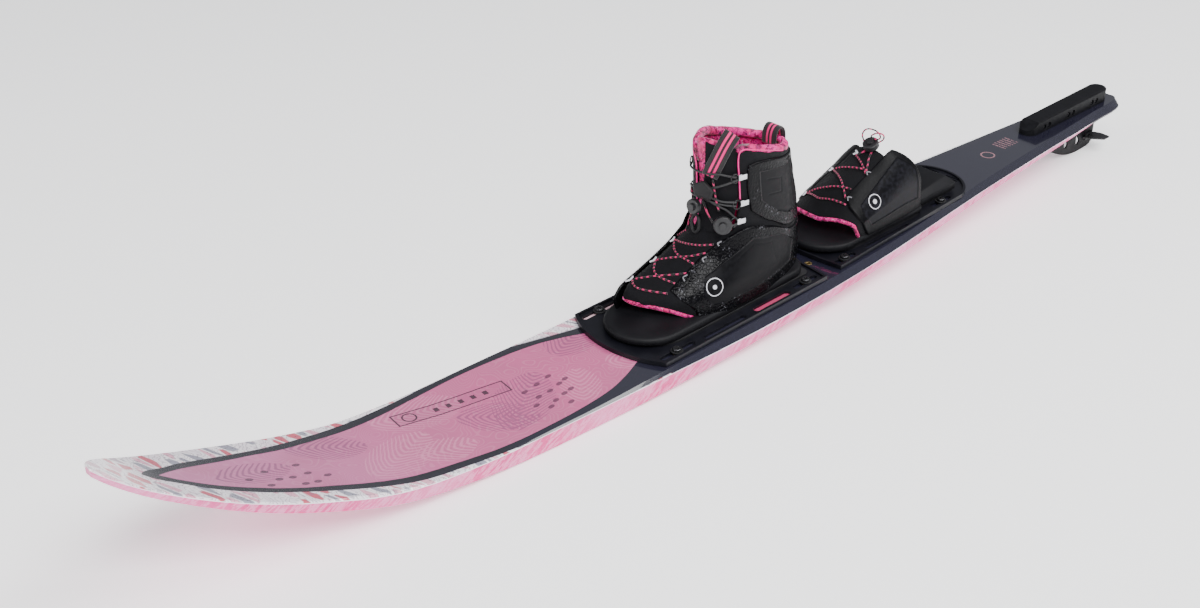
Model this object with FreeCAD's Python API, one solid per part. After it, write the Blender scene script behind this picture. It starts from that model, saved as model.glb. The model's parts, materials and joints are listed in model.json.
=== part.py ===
"""Slalom water ski with an adjustable front boot, a rear toe binding and a finned tail.

Ski coordinates while modelling, in millimetres: X from the tail end (0) to the tip, Y to the skier's
left, Z up from the base plane at mid ski. The last step lays the whole ski down as it rests on a
floor, on the fin's lower edge and the belly, and puts the origin under the middle of its box.
"""
import FreeCAD, Part
import math
import os

V = FreeCAD.Vector

# Driving dimensions
SKI_LENGTH = 1651.0
SKIN = 1.5                     # laminate thickness of deck and base
DECK_Z = 22.0                  # deck height under both bindings
REST_TILT = 2.854              # degrees nose-down when the fin and the belly both touch the floor
GAP = 0.3                      # clearance between parts that slide on each other
FRONT_REAR_END, FRONT_TOE_END = 736.0, 1040.0     # front plate
REAR_TAIL_END, REAR_FRONT_END = 402.0, 716.0      # rear plate
PLATE_THICK, RIM_HIGH, RIM_WIDE = 3.0, 2.4, 3.0
PLATE_Z = DECK_Z + GAP
FRAME_THICK = 2.6
BED_Z = PLATE_Z + PLATE_THICK + FRAME_THICK       # underside of both foam footbeds
BED_TOP = 36.5
BOOT_WALL, WRAP = 4.0, 2.4
SCREW_R, WASHER_R, HEAD_R = 2.5, 7.2, 5.4
INSERT_R, INSERT_BORE_R, INSERT_DEEP = 4.6, 2.55, 12.0
FIN_THICK, FIN_SLOT = 2.4, 4.2
FIN_REAR, FIN_FRONT = 26.0, 204.0
FIN_DEPTH_Z, BLADE_TOP = -54.0, 30.5
BLOCK_ENDS, BLOCK_HALF, BLOCK_LOW, BLOCK_TOP = (18.0, 220.0), 13.5, 18.2, 38.5
LACE_R, CORD_R = 1.25, 1.2
BUTTON_R, BUTTON_TRAVEL = 4.2, 1.8
SHAFT_LACE_OUT, VAMP_LACE_OUT = 5.2, 6.0
CORE_GAP = 0.25                # resin line between the core and the shells
BOND = 0.15                    # glue line between the liner and the wraps on it

# Profiles along the ski: (distance from the tail, value)
HALF_WIDTH = [(0, 15), (5, 24), (18, 29.5), (60, 32.2), (200, 42.8), (400, 58), (650, 76.5),
              (900, 81.3), (1150, 79.4), (1350, 75), (1500, 62.5), (1590, 41.5), (1630, 26.5),
              (1645, 15), (1650.5, 4)]
BASE_Z = [(0, 7.7), (200, 6.8), (400, 5), (700, -0.5), (1000, -3.5), (1200, 2.5), (1350, 20.5),
          (1500, 74), (1600, 127), (1651, 162)]
SIDE_HIGH = [(0, 3), (110, 4), (200, 7), (350, 10.5), (500, 13), (800, 13.2), (900, 15.5), (1000, 19.8),
             (1100, 22), (1200, 21.6), (1300, 17.2), (1400, 14), (1500, 11.6), (1600, 8.6), (1651, 7.4)]
DECK_HIGH = [(0, 18.6), (217, 21), (400, DECK_Z), (1060, DECK_Z), (1150, 23.8), (1200, 25.2),
             (1250, 26.4), (1300, 30.4), (1350, 36.9), (1400, 50), (1500, 86.6), (1600, 136.6),
             (1651, 170.4)]
BEVEL = [(0, 9), (200, 10), (374, 10.5), (500, 8), (700, 6.5), (1000, 5), (1100, 3), (1150, 2), (1651, 2)]
TUNNEL = [(0, 2), (300, 3), (900, 3.4), (1250, 2), (1400, 0.4), (1651, 0.3)]
STATIONS = [0, 5, 18, 60, 120, 200, 300, 400, 520, 650, 800, 950, 1060, 1150, 1200, 1250, 1300, 1350,
            1400, 1450, 1500, 1550, 1590, 1615, 1630, 1640, 1647, 1650.5]

# Boot outline at rising heights: (height, heel end, front end, half width)
BOOT = [(BED_TOP, 741, 976, 48), (50, 740, 972, 48.5), (62, 741, 962, 48), (72, 742, 945, 46.5),
        (83, 743, 925, 45), (96, 745, 906, 43.5), (109, 748, 895, 42), (124, 750, 890, 40.5),
        (150, 757, 888, 40), (180, 764, 889, 39.5), (210, 769, 890, 39.5), (242, 772, 892, 39.5)]
TOE_SKEW, TOE_BLUNT, SHAFT_ROUND = 0.5, 0.74, 0.88   # the big toe side reaches further forward
SKEW_LOW, SKEW_HIGH = 64.0, 108.0                    # heights between which the toe shape fades out
# Rear toe binding arch: (distance from the tail, half width, top height)
ARCH = [(676, 47, 61), (647, 48, 84), (605, 48, 103), (565, 47.5, 118), (524, 46, 112)]

parts = {}


def value(knots, at):
    """A smooth curve through the knots that never overshoots between them."""
    if at <= knots[0][0]:
        return knots[0][1]
    if at >= knots[-1][0]:
        return knots[-1][1]
    slopes = [(b[1] - a[1]) / (b[0] - a[0]) for a, b in zip(knots, knots[1:])]
    ends = [slopes[0]]
    for left, right in zip(slopes, slopes[1:]):
        ends.append(0.0 if left * right <= 0 else 2 * left * right / (left + right))
    ends.append(slopes[-1])
    i = max(k for k in range(len(knots) - 1) if knots[k][0] <= at)
    (x0, y0), (x1, y1) = knots[i], knots[i + 1]
    span = x1 - x0
    t = (at - x0) / span
    return (y0 * (1 + 2 * t) * (1 - t) ** 2 + ends[i] * span * t * (1 - t) ** 2
            + y1 * t * t * (3 - 2 * t) - ends[i + 1] * span * t * t * (1 - t))


def polygon(points):
    return Part.makePolygon(points + [points[0]])


def prism(outline, low, high, plane="XY"):
    """The outline's corners as a solid between two levels across its plane."""
    if plane == "XY":
        face = Part.Face(polygon([V(a, b, low) for a, b in outline]))
        return face.extrude(V(0, 0, high - low))
    face = Part.Face(polygon([V(a, low, b) for a, b in outline]))
    return face.extrude(V(0, high - low, 0))


def block(x0, x1, y0, y1, z0, z1):
    return Part.makeBox(x1 - x0, y1 - y0, z1 - z0, V(x0, y0, z0))


def rod(radius, start, end):
    return Part.makeCylinder(radius, (end - start).Length, start, end - start)


def soften(solid, above, radius):
    """The solid with every edge that lies wholly above a height rounded."""
    return solid.makeFillet(radius, [edge for edge in solid.Edges if edge.BoundBox.ZMin > above])


def fuse(shapes):
    return shapes[0].fuse(shapes[1:]).removeSplitter() if len(shapes) > 1 else shapes[0]


def slot_solid(x0, x1, y, width, z0, z1):
    """A slot with round ends along X."""
    r = width / 2
    return fuse([block(x0 + r, x1 - r, y - r, y + r, z0, z1),
                 rod(r, V(x0 + r, y, z0), V(x0 + r, y, z1)), rod(r, V(x1 - r, y, z0), V(x1 - r, y, z1))])


def tube(points, radius):
    """A round cord along straight runs joined by tangent arcs as large as the runs allow."""
    corners = [V(*p) for p in points]
    edges, radii = [], []
    here = corners[0]
    for before, corner, after in zip(corners, corners[1:], corners[2:]):
        back, ahead = (before - corner), (after - corner)
        reach = 0.45 * min(back.Length, ahead.Length)
        back.normalize()
        ahead.normalize()
        middle = back + ahead
        middle.normalize()
        half_turn = (math.pi - back.getAngle(ahead)) / 2
        bend = reach / math.tan(half_turn)
        radii.append(round(bend, 1))
        depth = bend / math.cos(half_turn) - bend
        start, end = corner + back * reach, corner + ahead * reach
        edges.append(Part.LineSegment(here, start).toShape())
        edges.append(Part.Arc(start, corner + middle * depth, end).toShape())
        here = end
    edges.append(Part.LineSegment(here, corners[-1]).toShape())
    path = Part.Wire(edges)
    first = corners[1] - corners[0]
    ring = Part.Wire(Part.makeCircle(radius, corners[0], first))
    print("cord length", round(path.Length, 1), "radii", radii)
    return path.makePipeShell([ring], True, False)


# ---------------------------------------------------------------- ski

def ski_section(at):
    """Corner points of the base shell, the core and the deck shell across the ski."""
    w, base, tunnel = value(HALF_WIDTH, at), value(BASE_Z, at), value(TUNNEL, at)
    deck = value(DECK_HIGH, at)
    side = min(base + value(SIDE_HIGH, at), deck - 0.7)
    edge, skin = min(9.0, 0.25 * w), min(SKIN, 0.3 * w)
    bevel, chamfer = min(value(BEVEL, at), 0.3 * w), min(1.2, 0.12 * w)
    inner = (w - skin) / w
    outer_low = [(w, base + chamfer), (w - chamfer, base), (w - edge, base),
                 (0.5 * w, base + 0.85 * tunnel), (0, base + tunnel)]
    inner_low = [((w - skin), base + skin), ((w - edge) * inner, base + skin),
                 (0.5 * w * inner, base + 0.85 * tunnel + skin), (0, base + tunnel + skin)]
    lip = [(w - skin, side)]
    under_deck = [(w - bevel - min(0.6, 0.1 * w), deck - skin)]
    base_shell = [(w, side)] + outer_low
    shell = base_shell + mirror(base_shell) + [(-(w - skin), side)]
    shell += [(-y, z) for y, z in inner_low] + mirror_back(inner_low) + lip
    upper = [(y - CORE_GAP, z - CORE_GAP) for y, z in under_deck + lip]
    lower = [(y * (w - CORE_GAP) / w, z + CORE_GAP) for y, z in inner_low]
    core = upper + lower + mirror(lower) + mirror(upper)
    deck_ring = lip + [(w, side), (w - bevel, deck), (-(w - bevel), deck), (-w, side)]
    deck_ring += [(-(w - skin), side)] + mirror(under_deck) + under_deck
    return [[V(at, y, z) for y, z in ring] for ring in (shell, core, deck_ring)]


def mirror(points):
    """The other side's points in reverse order, without the centre one."""
    return [(-y, z) for y, z in reversed(points) if y]


def mirror_back(points):
    """From the centre back out along the given side."""
    return [(y, z) for y, z in reversed(points) if y]


def ski_body():
    rings = [ski_section(at) for at in STATIONS]
    lofts = [Part.makeLoft([polygon(ring[i]) for ring in rings], True, False) for i in range(3)]
    return dict(zip(("base_shell", "foam_core", "deck_shell"), lofts))


SCREW_SPOTS_FRONT = [(990, 61.5), (768, 60.0)]
SCREW_SPOTS_REAR = [(690, 56.4), (480, 46.3)]
SPARE_SPOTS = [(726, 30.0)]


def both_sides(spots):
    return [(x, side * y) for x, y in spots for side in (1, -1)]


def insert(x, y):
    """A brass threaded insert, sunk flush in the deck."""
    body = rod(INSERT_R, V(x, y, DECK_Z - INSERT_DEEP), V(x, y, DECK_Z))
    return body.cut(rod(INSERT_BORE_R, V(x, y, DECK_Z - INSERT_DEEP + 2), V(x, y, DECK_Z + 1)))


def ski():
    body = ski_body()
    spots = both_sides(SCREW_SPOTS_FRONT + SCREW_SPOTS_REAR + SPARE_SPOTS)
    holes = [rod(INSERT_R, V(x, y, DECK_Z - INSERT_DEEP), V(x, y, 40)) for x, y in spots]
    flat = block(396, 1046, -90, 90, DECK_Z, 60)
    fin_slot = slot_solid(FIN_REAR - 5, FIN_FRONT + 5, 0, FIN_SLOT, -20, 60)
    pocket = slot_solid(*BLOCK_ENDS, 0, 2 * BLOCK_HALF, BLOCK_LOW, 60)
    parts["base_shell"] = body["base_shell"].cut(fin_slot)
    parts["foam_core"] = body["foam_core"].cut(holes + [fin_slot, pocket])
    parts["deck_shell"] = body["deck_shell"].cut(holes + [fin_slot, flat, pocket])
    fixed = both_sides(SCREW_SPOTS_FRONT + SCREW_SPOTS_REAR)
    parts["binding_inserts"] = Part.makeCompound([insert(x, y) for x, y in fixed])
    parts["spare_inserts"] = Part.makeCompound([insert(x, y) for x, y in both_sides(SPARE_SPOTS)])
    parts["binding_screws"] = Part.makeCompound([binding_screw(x, y) for x, y in fixed])
    parts["screw_washers"] = Part.makeCompound([washer(x, y) for x, y in fixed])


def binding_screw(x, y):
    """A domed screw with a cross recess, down through a plate slot into its insert."""
    top = PLATE_Z + PLATE_THICK + GAP + 1.2
    shaft = rod(SCREW_R, V(x, y, DECK_Z - INSERT_DEEP + 3), V(x, y, top))
    head = rod(HEAD_R, V(x, y, top), V(x, y, top + 3.2))
    head = head.makeFillet(1.6, [edge for edge in head.Edges if edge.BoundBox.ZMin > top + 3])
    cross = [block(x - 3, x + 3, y - 0.6, y + 0.6, top + 1.6, top + 4),
             block(x - 0.6, x + 0.6, y - 3, y + 3, top + 1.6, top + 4)]
    return fuse([shaft, head]).cut(cross)


def washer(x, y):
    low = PLATE_Z + PLATE_THICK + GAP
    disc = rod(WASHER_R, V(x, y, low), V(x, y, low + 1.2))
    return disc.cut(rod(SCREW_R + 0.1, V(x, y, low - 1), V(x, y, low + 2)))


# ---------------------------------------------------------------- binding plates

def plate_outline(rear, front, half_rear, half_front, bulge_rear, bulge_front, level):
    """A plate's outline with arched ends, as a wire at a level."""
    corners = [V(rear, -half_rear, level), V(front, -half_front, level),
               V(front, half_front, level), V(rear, half_rear, level)]
    front_arc = Part.Arc(corners[1], V(front + bulge_front, 0, level), corners[2])
    rear_arc = Part.Arc(corners[3], V(rear - bulge_rear, 0, level), corners[0])
    return Part.Wire([Part.makeLine(corners[0], corners[1]), front_arc.toShape(),
                      Part.makeLine(corners[2], corners[3]), rear_arc.toShape()])


def rimmed_plate(rear, front, half_rear, half_front, bulge_rear, bulge_front):
    """A flat plate with a raised rim all round."""
    shape = (rear, front, half_rear, half_front, bulge_rear, bulge_front)
    outer = Part.Face(plate_outline(*shape, PLATE_Z))
    inset = (rear + RIM_WIDE, front - RIM_WIDE, half_rear - RIM_WIDE, half_front - RIM_WIDE,
             bulge_rear, bulge_front)
    whole = outer.extrude(V(0, 0, PLATE_THICK + RIM_HIGH))
    pocket = Part.Face(plate_outline(*inset, PLATE_Z + PLATE_THICK)).extrude(V(0, 0, 9))
    return whole.cut(pocket)


def front_plate():
    plate = rimmed_plate(FRONT_REAR_END + 6, FRONT_TOE_END - 22, 72, 73, 6, 22)
    low, high = PLATE_Z - 1, PLATE_Z + 9
    windows = []
    for side in (1, -1):
        windows.append(slot_solid(962, 1016, side * 61.5, 7, low, high))
        windows.append(slot_solid(878, 948, side * 63.5, 7, low, high))
        windows.append(slot_solid(800, 862, side * 62.5, 9, low, high))
        windows.append(slot_solid(748, 790, side * 60, 7, low, high))
    parts["front_plate"] = plate.cut(windows)


def rear_plate():
    plate = rimmed_plate(REAR_TAIL_END + 44, REAR_FRONT_END - 5, 56, 68, 44, 5)
    low, high = PLATE_Z - 1, PLATE_Z + 9
    windows = []
    for side in (1, -1):
        windows.append(slot_solid(670, 708, side * 56.4, 7, low, high))
        windows.append(slot_solid(560, 650, side * 56.5, 6, low, high))
        windows.append(slot_solid(460, 500, side * 46.3, 7, low, high))
        for row in range(7):
            x = 411 + 4.6 * row
            windows.append(block(x, x + 2.2, min(side * 6, side * 27), max(side * 6, side * 27), low, high))
    parts["rear_plate"] = plate.cut(windows)


def pad(rear, front, half, low, high, rear_round=None):
    """A foam block with a half-round front, its top edge softened."""
    nose = Part.Arc(V(front - half, -half, low), V(front, 0, low), V(front - half, half, low)).toShape()
    r = rear_round or 10.0
    p = [V(rear + r, -half, low), V(rear, -half + r, low), V(rear, half - r, low), V(rear + r, half, low)]
    q = r * (1 - math.sqrt(0.5))
    corners = [Part.Arc(p[1], V(rear + q, -half + q, low), p[0]).toShape(),
               Part.Arc(p[3], V(rear + q, half - q, low), p[2]).toShape()]
    edges = [nose, Part.makeLine(nose.Vertexes[1].Point, p[3]), corners[1],
             Part.makeLine(p[2], p[1]), corners[0], Part.makeLine(p[0], nose.Vertexes[0].Point)]
    solid = Part.Face(Part.Wire(Part.__sortEdges__(edges))).extrude(V(0, 0, high - low))
    return soften(solid, high - 0.01, 3.0)


def sole_frame(name, rear, front, half, screws_at, tail=None):
    """The flat clamp frame under a footbed, with its countersunk screws and maybe a narrower tail."""
    low = PLATE_Z + PLATE_THICK
    frame = pad(rear, front, half, low, low + 6).common(block(rear, front, -half, half, low, BED_Z))
    if tail:
        frame = fuse([frame, block(tail[0], rear + 20, -tail[1], tail[1], low, BED_Z)])
    spots = both_sides(screws_at)
    holes = [rod(2.1, V(x, y, low - 1), V(x, y, BED_Z + 1)) for x, y in spots]
    sunk = [Part.makeCone(2.1, 4.2, 1.8, V(x, y, BED_Z - 1.8)) for x, y in spots]
    parts[name + "_sole_frame"] = frame.cut(holes + sunk)
    screws = [fuse([rod(2.0, V(x, y, PLATE_Z), V(x, y, BED_Z - 0.1)),
                    Part.makeCone(2.0, 4.1, 1.7, V(x, y, BED_Z - 1.8))]) for x, y in spots]
    parts[name + "_frame_screws"] = Part.makeCompound(screws)
    cutters = [rod(2.1, V(x, y, PLATE_Z - 1), V(x, y, low + 1)) for x, y in spots]
    parts[name + "_plate"] = parts[name + "_plate"].cut(cutters)


def footbeds():
    sole_frame("front", 748, 1016, 50.5, [(775, 34), (860, 38), (940, 38)])
    parts["front_footbed"] = pad(742, 1024, 49.5, BED_Z, BED_TOP, 34)
    sole_frame("rear", 524, 704, 49, [(470, 28), (560, 36), (640, 36)], (447, 38.4))
    parts["rear_footbed"] = pad(520.3, 713, 50, BED_Z, BED_TOP)
    wedge = prism([(440, BED_Z), (520, BED_Z), (520, 41), (455, 47), (440, 44)], -40, 40, "XZ")
    parts["rear_heel_pad"] = soften(wedge, 43.5, 2.5)


# ---------------------------------------------------------------- front boot

def boot_point(row, angle, grow):
    """A point of the boot's egg-shaped outline at one height, with the angle from the toe."""
    high, heel, front, half = row
    widest = heel + 0.5 * (front - heel)
    toe = 1.0 - min(1.0, max(0.0, (high - SKEW_LOW) / (SKEW_HIGH - SKEW_LOW)))
    ahead = math.cos(angle) > 0
    power = SHAFT_ROUND + (TOE_BLUNT - SHAFT_ROUND) * toe * ahead
    reach = (front - widest if ahead else widest - heel) + grow
    along = math.copysign(abs(math.cos(angle)) ** power, math.cos(angle))
    across = (half + grow) * math.copysign(abs(math.sin(angle)) ** power, math.sin(angle))
    return V(widest + reach * along - TOE_SKEW * toe * across * max(0.0, along), across, high)


def boot_loft(grow, extend=0.0):
    """The solid inside the boot's outline, grown outwards, and extended past both ends."""
    wires = []
    for i, row in enumerate(BOOT):
        shift = {0: -extend, len(BOOT) - 1: extend}.get(i, 0.0)
        curve = Part.BSplineCurve()
        points = [boot_point(row, 2 * math.pi * k / 18, grow) + V(0, 0, shift) for k in range(18)]
        curve.interpolate(Points=points, PeriodicFlag=True)
        wires.append(Part.Wire(curve.toShape()))
    return Part.makeLoft(wires, True, False)


def boot_surface(high, across, out):
    """A point on the front of the boot at a height and a place across, held off by a distance."""
    rows = [[(row[0], row[k]) for row in BOOT] for k in (1, 2, 3)]
    row = (high, value(rows[0], high), value(rows[1], high), value(rows[2], high))
    low, top = 0.0, math.pi / 2
    for _ in range(30):
        angle = (low + top) / 2
        low, top = (angle, top) if boot_point(row, angle, out).y < abs(across) else (low, angle)
    return (boot_point(row, math.copysign(low, across), out).x, across, high)


LOWER_WRAP = [(930, BED_TOP), (950, 66), (928, 80), (894, 103), (858, 122), (834, 120), (812, 111),
              (775, 93), (730, 92), (730, BED_TOP)]
CUFF = [(850, 194), (856, 176), (856, 150), (842, 129), (776, 99), (730, 97), (730, 182), (768, 184)]
COLLAR = [(740, 184), (768, 184), (800, 198), (850, 215), (930, 226), (930, 300), (740, 300)]
VAMP = [(1010, 54), (1010, 108), (835, 108), (885, 54)]
TONGUE = [(1000, 108), (1000, 236), (800, 236), (835, 108)]
THROAT_HALF = 27.0


def front_boot():
    inner, middle, outer = boot_loft(-BOOT_WALL, 1.0), boot_loft(0), boot_loft(WRAP)
    shell = middle.cut(inner)
    vamp_zone = prism(VAMP, -THROAT_HALF, THROAT_HALF, "XZ")
    tongue_zone = prism(TONGUE, -THROAT_HALF, THROAT_HALF, "XZ")
    toe_hole = block(925, 1010, -43, 43, BED_TOP - 1, 51)
    above = prism(COLLAR, -80, 80, "XZ")
    parts["front_liner"] = shell.cut([vamp_zone, tongue_zone, toe_hole, above])
    parts["front_vamp"] = shell.common(vamp_zone)
    parts["front_tongue"] = shell.common(tongue_zone)
    skin = outer.cut([boot_loft(BOND, 1.0)])
    for name, side in (("lateral", 1), ("medial", -1)):
        low, high = sorted((side * 29, side * 80))
        lower = skin.common(prism(LOWER_WRAP, *sorted((0, side * 80)), "XZ"))
        lower = lower.common(fuse([block(700, 860, *sorted((0, side * 80)), 0, 300),
                                   block(700, 1000, low, high, 0, 300)]))
        cuff = skin.common(prism(CUFF, *sorted((0, side * 80)), "XZ"))
        cuff = cuff.common(fuse([block(700, 800, *sorted((0, side * 80)), 0, 300),
                                 block(700, 1000, low, high, 0, 300)]))
        parts["front_" + name + "_wrap"] = lower
        parts["front_" + name + "_cuff"] = cuff


def lock_body(centre, radius, thick, lean, turn=0.0):
    """A round lace lock with a bore for its button, and the button, both turned to face a way."""
    out = V(math.cos(lean) * math.cos(turn), math.cos(lean) * math.sin(turn), math.sin(lean))
    shell = rod(radius, centre, centre + out * thick)
    shell = shell.makeFillet(1.2, [edge for edge in shell.Edges if isinstance(edge.Curve, Part.Circle)])
    bore = rod(BUTTON_R + 0.06, centre + out * 1.6, centre + out * 20)
    button = rod(BUTTON_R, centre + out * (1.6 + BUTTON_TRAVEL + 0.3), centre + out * (thick + 2.4))
    return shell.cut(bore), button



def boot_laces():
    """Criss-cross lower lace, upper elastic cord, their loops, rings and locks."""
    zigzag = []
    for i, high in enumerate((60, 69, 78, 87, 96, 105)):
        side = 1 if i % 2 else -1
        zigzag.append(boot_surface(high - 3, -side * 9, VAMP_LACE_OUT))
        zigzag.append(boot_surface(high, side * 22, VAMP_LACE_OUT))
    parts["front_lower_lace"] = tube(zigzag[1:], LACE_R)
    cord = []
    for i, high in enumerate((128, 142, 156, 170, 184)):
        side = 1 if i % 2 else -1
        cord.append(boot_surface(high - 5, -side * 9, SHAFT_LACE_OUT))
        cord.append(boot_surface(high, side * 22, SHAFT_LACE_OUT))
    parts["front_upper_cord"] = tube(cord[1:], CORD_R)
    loops = []
    for high in (62, 78, 94):
        for side in (1, -1):
            x, y, z = boot_surface(high, side * 31, WRAP + 3.6)
            loops.append(rod(1.4, V(x - 2.5, y + side * 1.5, z + 1), V(x + 2.5, y - side * 1.5, z)))
    parts["front_lace_loops"] = Part.makeCompound(loops)
    rings, tabs = [], []
    for high in (136, 158, 180):
        for side in (1, -1):
            x, y, z = boot_surface(high, side * 27.5, WRAP + 2.6)
            ring = Part.makeTorus(5.2, 0.8, V(x, y, z), V(0.35, side * 0.94, 0))
            rings.append(ring)
            sides = sorted((y + side * 6.5, y + side * 8))
            tabs.append(block(x - 15, x - 6.5, *sides, z - 2.5, z + 2.5))
    parts["front_lace_rings"] = Part.makeCompound(rings)
    parts["front_ring_tabs"] = Part.makeCompound(tabs)
    lean_low, turn_low, lean_high = math.radians(8), math.radians(44), math.radians(4)
    low_spot = V(*boot_surface(133, 30, VAMP_LACE_OUT + 3))
    high_spot = V(*boot_surface(149, -2, SHAFT_LACE_OUT + 3))
    parts["front_lower_lock"], parts["front_lower_button"] = lock_body(low_spot, 10.5, 6.5, lean_low,
                                                                              turn_low)
    parts["front_upper_lock"], parts["front_upper_button"] = lock_body(high_spot, 9, 6.5, lean_high)


def boot_trim():
    """Pull tab on the tongue, finger handle of the upper cord, and the heel pull loop."""
    x = boot_surface(200, 0, 1.5)[0]
    parts["tongue_pull"] = block(x, x + 3, -9, 9, 184, 234)
    pentagon = [(-12, 166), (12, 166), (14, 178), (0, 186), (-14, 178)]
    face = Part.Face(polygon([V(x + 10, y, z) for y, z in pentagon]))
    parts["lace_handle"] = face.extrude(V(4, 0, 0))
    outside = [(754, 163), (758.3, 184), (758.8, 203), (766, 211), (775.5, 207.5), (779.5, 197), (778, 188)]
    inside = [(774.8, 188.5), (776.2, 197), (773.4, 204.6), (766.6, 207.6), (761.9, 201.6), (761.4, 183.6),
              (757, 163)]
    parts["heel_loop"] = prism(outside + inside, -11, 11, "XZ")


# ---------------------------------------------------------------- rear toe binding

def arch_loft(grow, extend=0.0):
    wires = []
    for i, (x, half, top) in enumerate(ARCH):
        shift = {0: extend, len(ARCH) - 1: -extend}.get(i, 0.0)
        spring, w = BED_TOP + 0.42 * (top - BED_TOP), half + grow
        p = [V(x + shift, -w, BED_TOP - extend), V(x + shift, -w, spring), V(x + shift, 0, top + grow),
             V(x + shift, w, spring), V(x + shift, w, BED_TOP - extend)]
        wires.append(Part.Wire([Part.makeLine(p[0], p[1]), Part.Arc(p[1], p[2], p[3]).toShape(),
                                Part.makeLine(p[3], p[4]), Part.makeLine(p[4], p[0])]))
    return Part.makeLoft(wires, True, False)


def arch_top(x, across, out):
    """A point on the arch's crown at a distance from the tail."""
    rows = sorted(ARCH)
    half = value([(row[0], row[1]) for row in rows], x)
    top = value([(row[0], row[2]) for row in rows], x)
    spring = BED_TOP + 0.42 * (top - BED_TOP)
    rise = top - spring
    radius = (half * half + rise * rise) / (2 * rise)
    return (x, across, top - radius + math.sqrt(radius * radius - across * across) + out)


REAR_WRAP = [(647, BED_TOP), (652, 78), (606, 99), (560, 117), (524, 112), (519, 84), (528, BED_TOP)]
REAR_THROAT = 25.0


def rear_binding():
    shell = arch_loft(0).cut(arch_loft(-BOOT_WALL, 1.0))
    vamp_zone = block(500, 700, -REAR_THROAT, REAR_THROAT, BED_TOP + 2, 200)
    parts["rear_liner"] = shell.cut(vamp_zone)
    parts["rear_vamp"] = shell.common(vamp_zone)
    skin = arch_loft(WRAP).cut(arch_loft(BOND, 1.0))
    for name, side in (("lateral", 1), ("medial", -1)):
        wrap = skin.common(prism(REAR_WRAP, *sorted((side * 24, side * 80)), "XZ"))
        parts["rear_" + name + "_wrap"] = wrap
    zigzag = []
    for i, x in enumerate((656, 640, 624, 609, 594)):
        side = 1 if i % 2 else -1
        zigzag += [arch_top(x + 9, -side * 8, 4.4), arch_top(x, side * 20, 4.4)]
    parts["rear_lace"] = tube(zigzag[1:], LACE_R)
    loops = []
    for x in (645, 610, 575):
        for side in (1, -1):
            low = V(*arch_top(x, side * 27, WRAP + 3.0))
            loops.append(rod(1.4, low, low + V(-1, -side * 6, 2.4)))
    parts["rear_lace_loops"] = Part.makeCompound(loops)
    spot = V(*arch_top(578, 1, 3.8))
    parts["rear_lock"], parts["rear_button"] = lock_body(spot, 10, 8, math.radians(66))
    parts["rear_lace_tail"] = tube([tuple(spot + V(*step)) for step in TAIL_LOOP], 1.1)


# Rises from the lock's rear side, over and down again: steps from the lock's foot
TAIL_LOOP = [(-5, 12, 3), (-7, 17, 8), (-8, 20, 18), (-6, 17, 29), (0, 8, 35), (5, -3, 33),
             (6, -11, 25), (3, -16, 15), (-3, -17, 8), (-5, -12, 3)]


# ---------------------------------------------------------------- fin

BLADE = [(FIN_REAR, BLADE_TOP), (FIN_REAR, -46), (34, -52), (50, FIN_DEPTH_Z + 0.4), (66, FIN_DEPTH_Z),
         (84, FIN_DEPTH_Z + 1.6), (104, -47.5), (126, -38.5), (150, -25.5), (176, -9), (196, 8),
         (FIN_FRONT - 4, BLADE_TOP)]


def drop_hole(x, z, tilt):
    """A drop-shaped lightening hole across the blade."""
    round_end = rod(4.8, V(x, -5, z), V(x, 5, z))
    point = V(x + 9 * math.sin(tilt), 0, z + 9 * math.cos(tilt))
    small = rod(2.2, V(point.x, -5, point.z), V(point.x, 5, point.z))
    across = V(math.cos(tilt), 0, -math.sin(tilt))
    sides = [V(x, -5, z) - across * 4.7, V(x, -5, z) + across * 4.7,
             V(point.x, -5, point.z) + across * 2.1, V(point.x, -5, point.z) - across * 2.1]
    return fuse([round_end, small, Part.Face(polygon(sides)).extrude(V(0, 10, 0))])


WING_PIVOT, WING_HALF_SPAN = (40.0, -36.0), 27.0


def fin():
    """The blade with its wing, and the block that clamps it on the deck."""
    curve = Part.BSplineCurve()
    curve.interpolate([V(x, 0, z) for x, z in BLADE[1:]])
    start, end = V(BLADE[0][0], 0, BLADE[0][1]), V(BLADE[-1][0], 0, BLADE[-1][1])
    outline = Part.Wire([Part.makeLine(start, V(BLADE[1][0], 0, BLADE[1][1])), curve.toShape(),
                         Part.makeLine(end, start)])
    blade = Part.Face(outline).extrude(V(0, FIN_THICK, 0))
    blade.translate(V(0, -FIN_THICK / 2, 0))
    pivot = V(WING_PIVOT[0], 0, WING_PIVOT[1])
    holes = [drop_hole(67, -38, 0.35), drop_hole(99, -34, 0.5)]
    holes.append(rod(2.05, pivot - V(0, 9, 0), pivot + V(0, 9, 0)))
    parts["fin_blade"] = blade.cut(holes)
    wings = []
    for side in (1, -1):
        inner, outer = side * (FIN_THICK / 2 + GAP), side * WING_HALF_SPAN
        plan = [(54, inner), (47, side * 12), (35, outer), (22, outer), (20, side * 13), (24, inner)]
        blade_half = Part.Face(polygon([V(x, y, pivot.z - 1) for x, y in plan])).extrude(V(0, 0, 2))
        foot = block(31, 49, *sorted((inner, inner + side * 2.4)), pivot.z - 5, pivot.z + 5)
        wings.append(fuse([blade_half, foot]))
    wing_hole = rod(2.05, pivot - V(0, 9, 0), pivot + V(0, 9, 0))
    head_room = [rod(4.2, pivot + V(0, side * 3.9, 0), pivot + V(0, side * 6.8, 0)) for side in (1, -1)]
    parts["wing"] = Part.makeCompound([half.cut([wing_hole] + head_room) for half in wings])
    pin = rod(2.0, pivot - V(0, 5.4, 0), pivot + V(0, 5.4, 0))
    heads = [rod(3.6, pivot + V(0, side * 4.2, 0), pivot + V(0, side * 6.2, 0)) for side in (1, -1)]
    parts["wing_bolt"] = fuse([pin] + heads)


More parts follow.
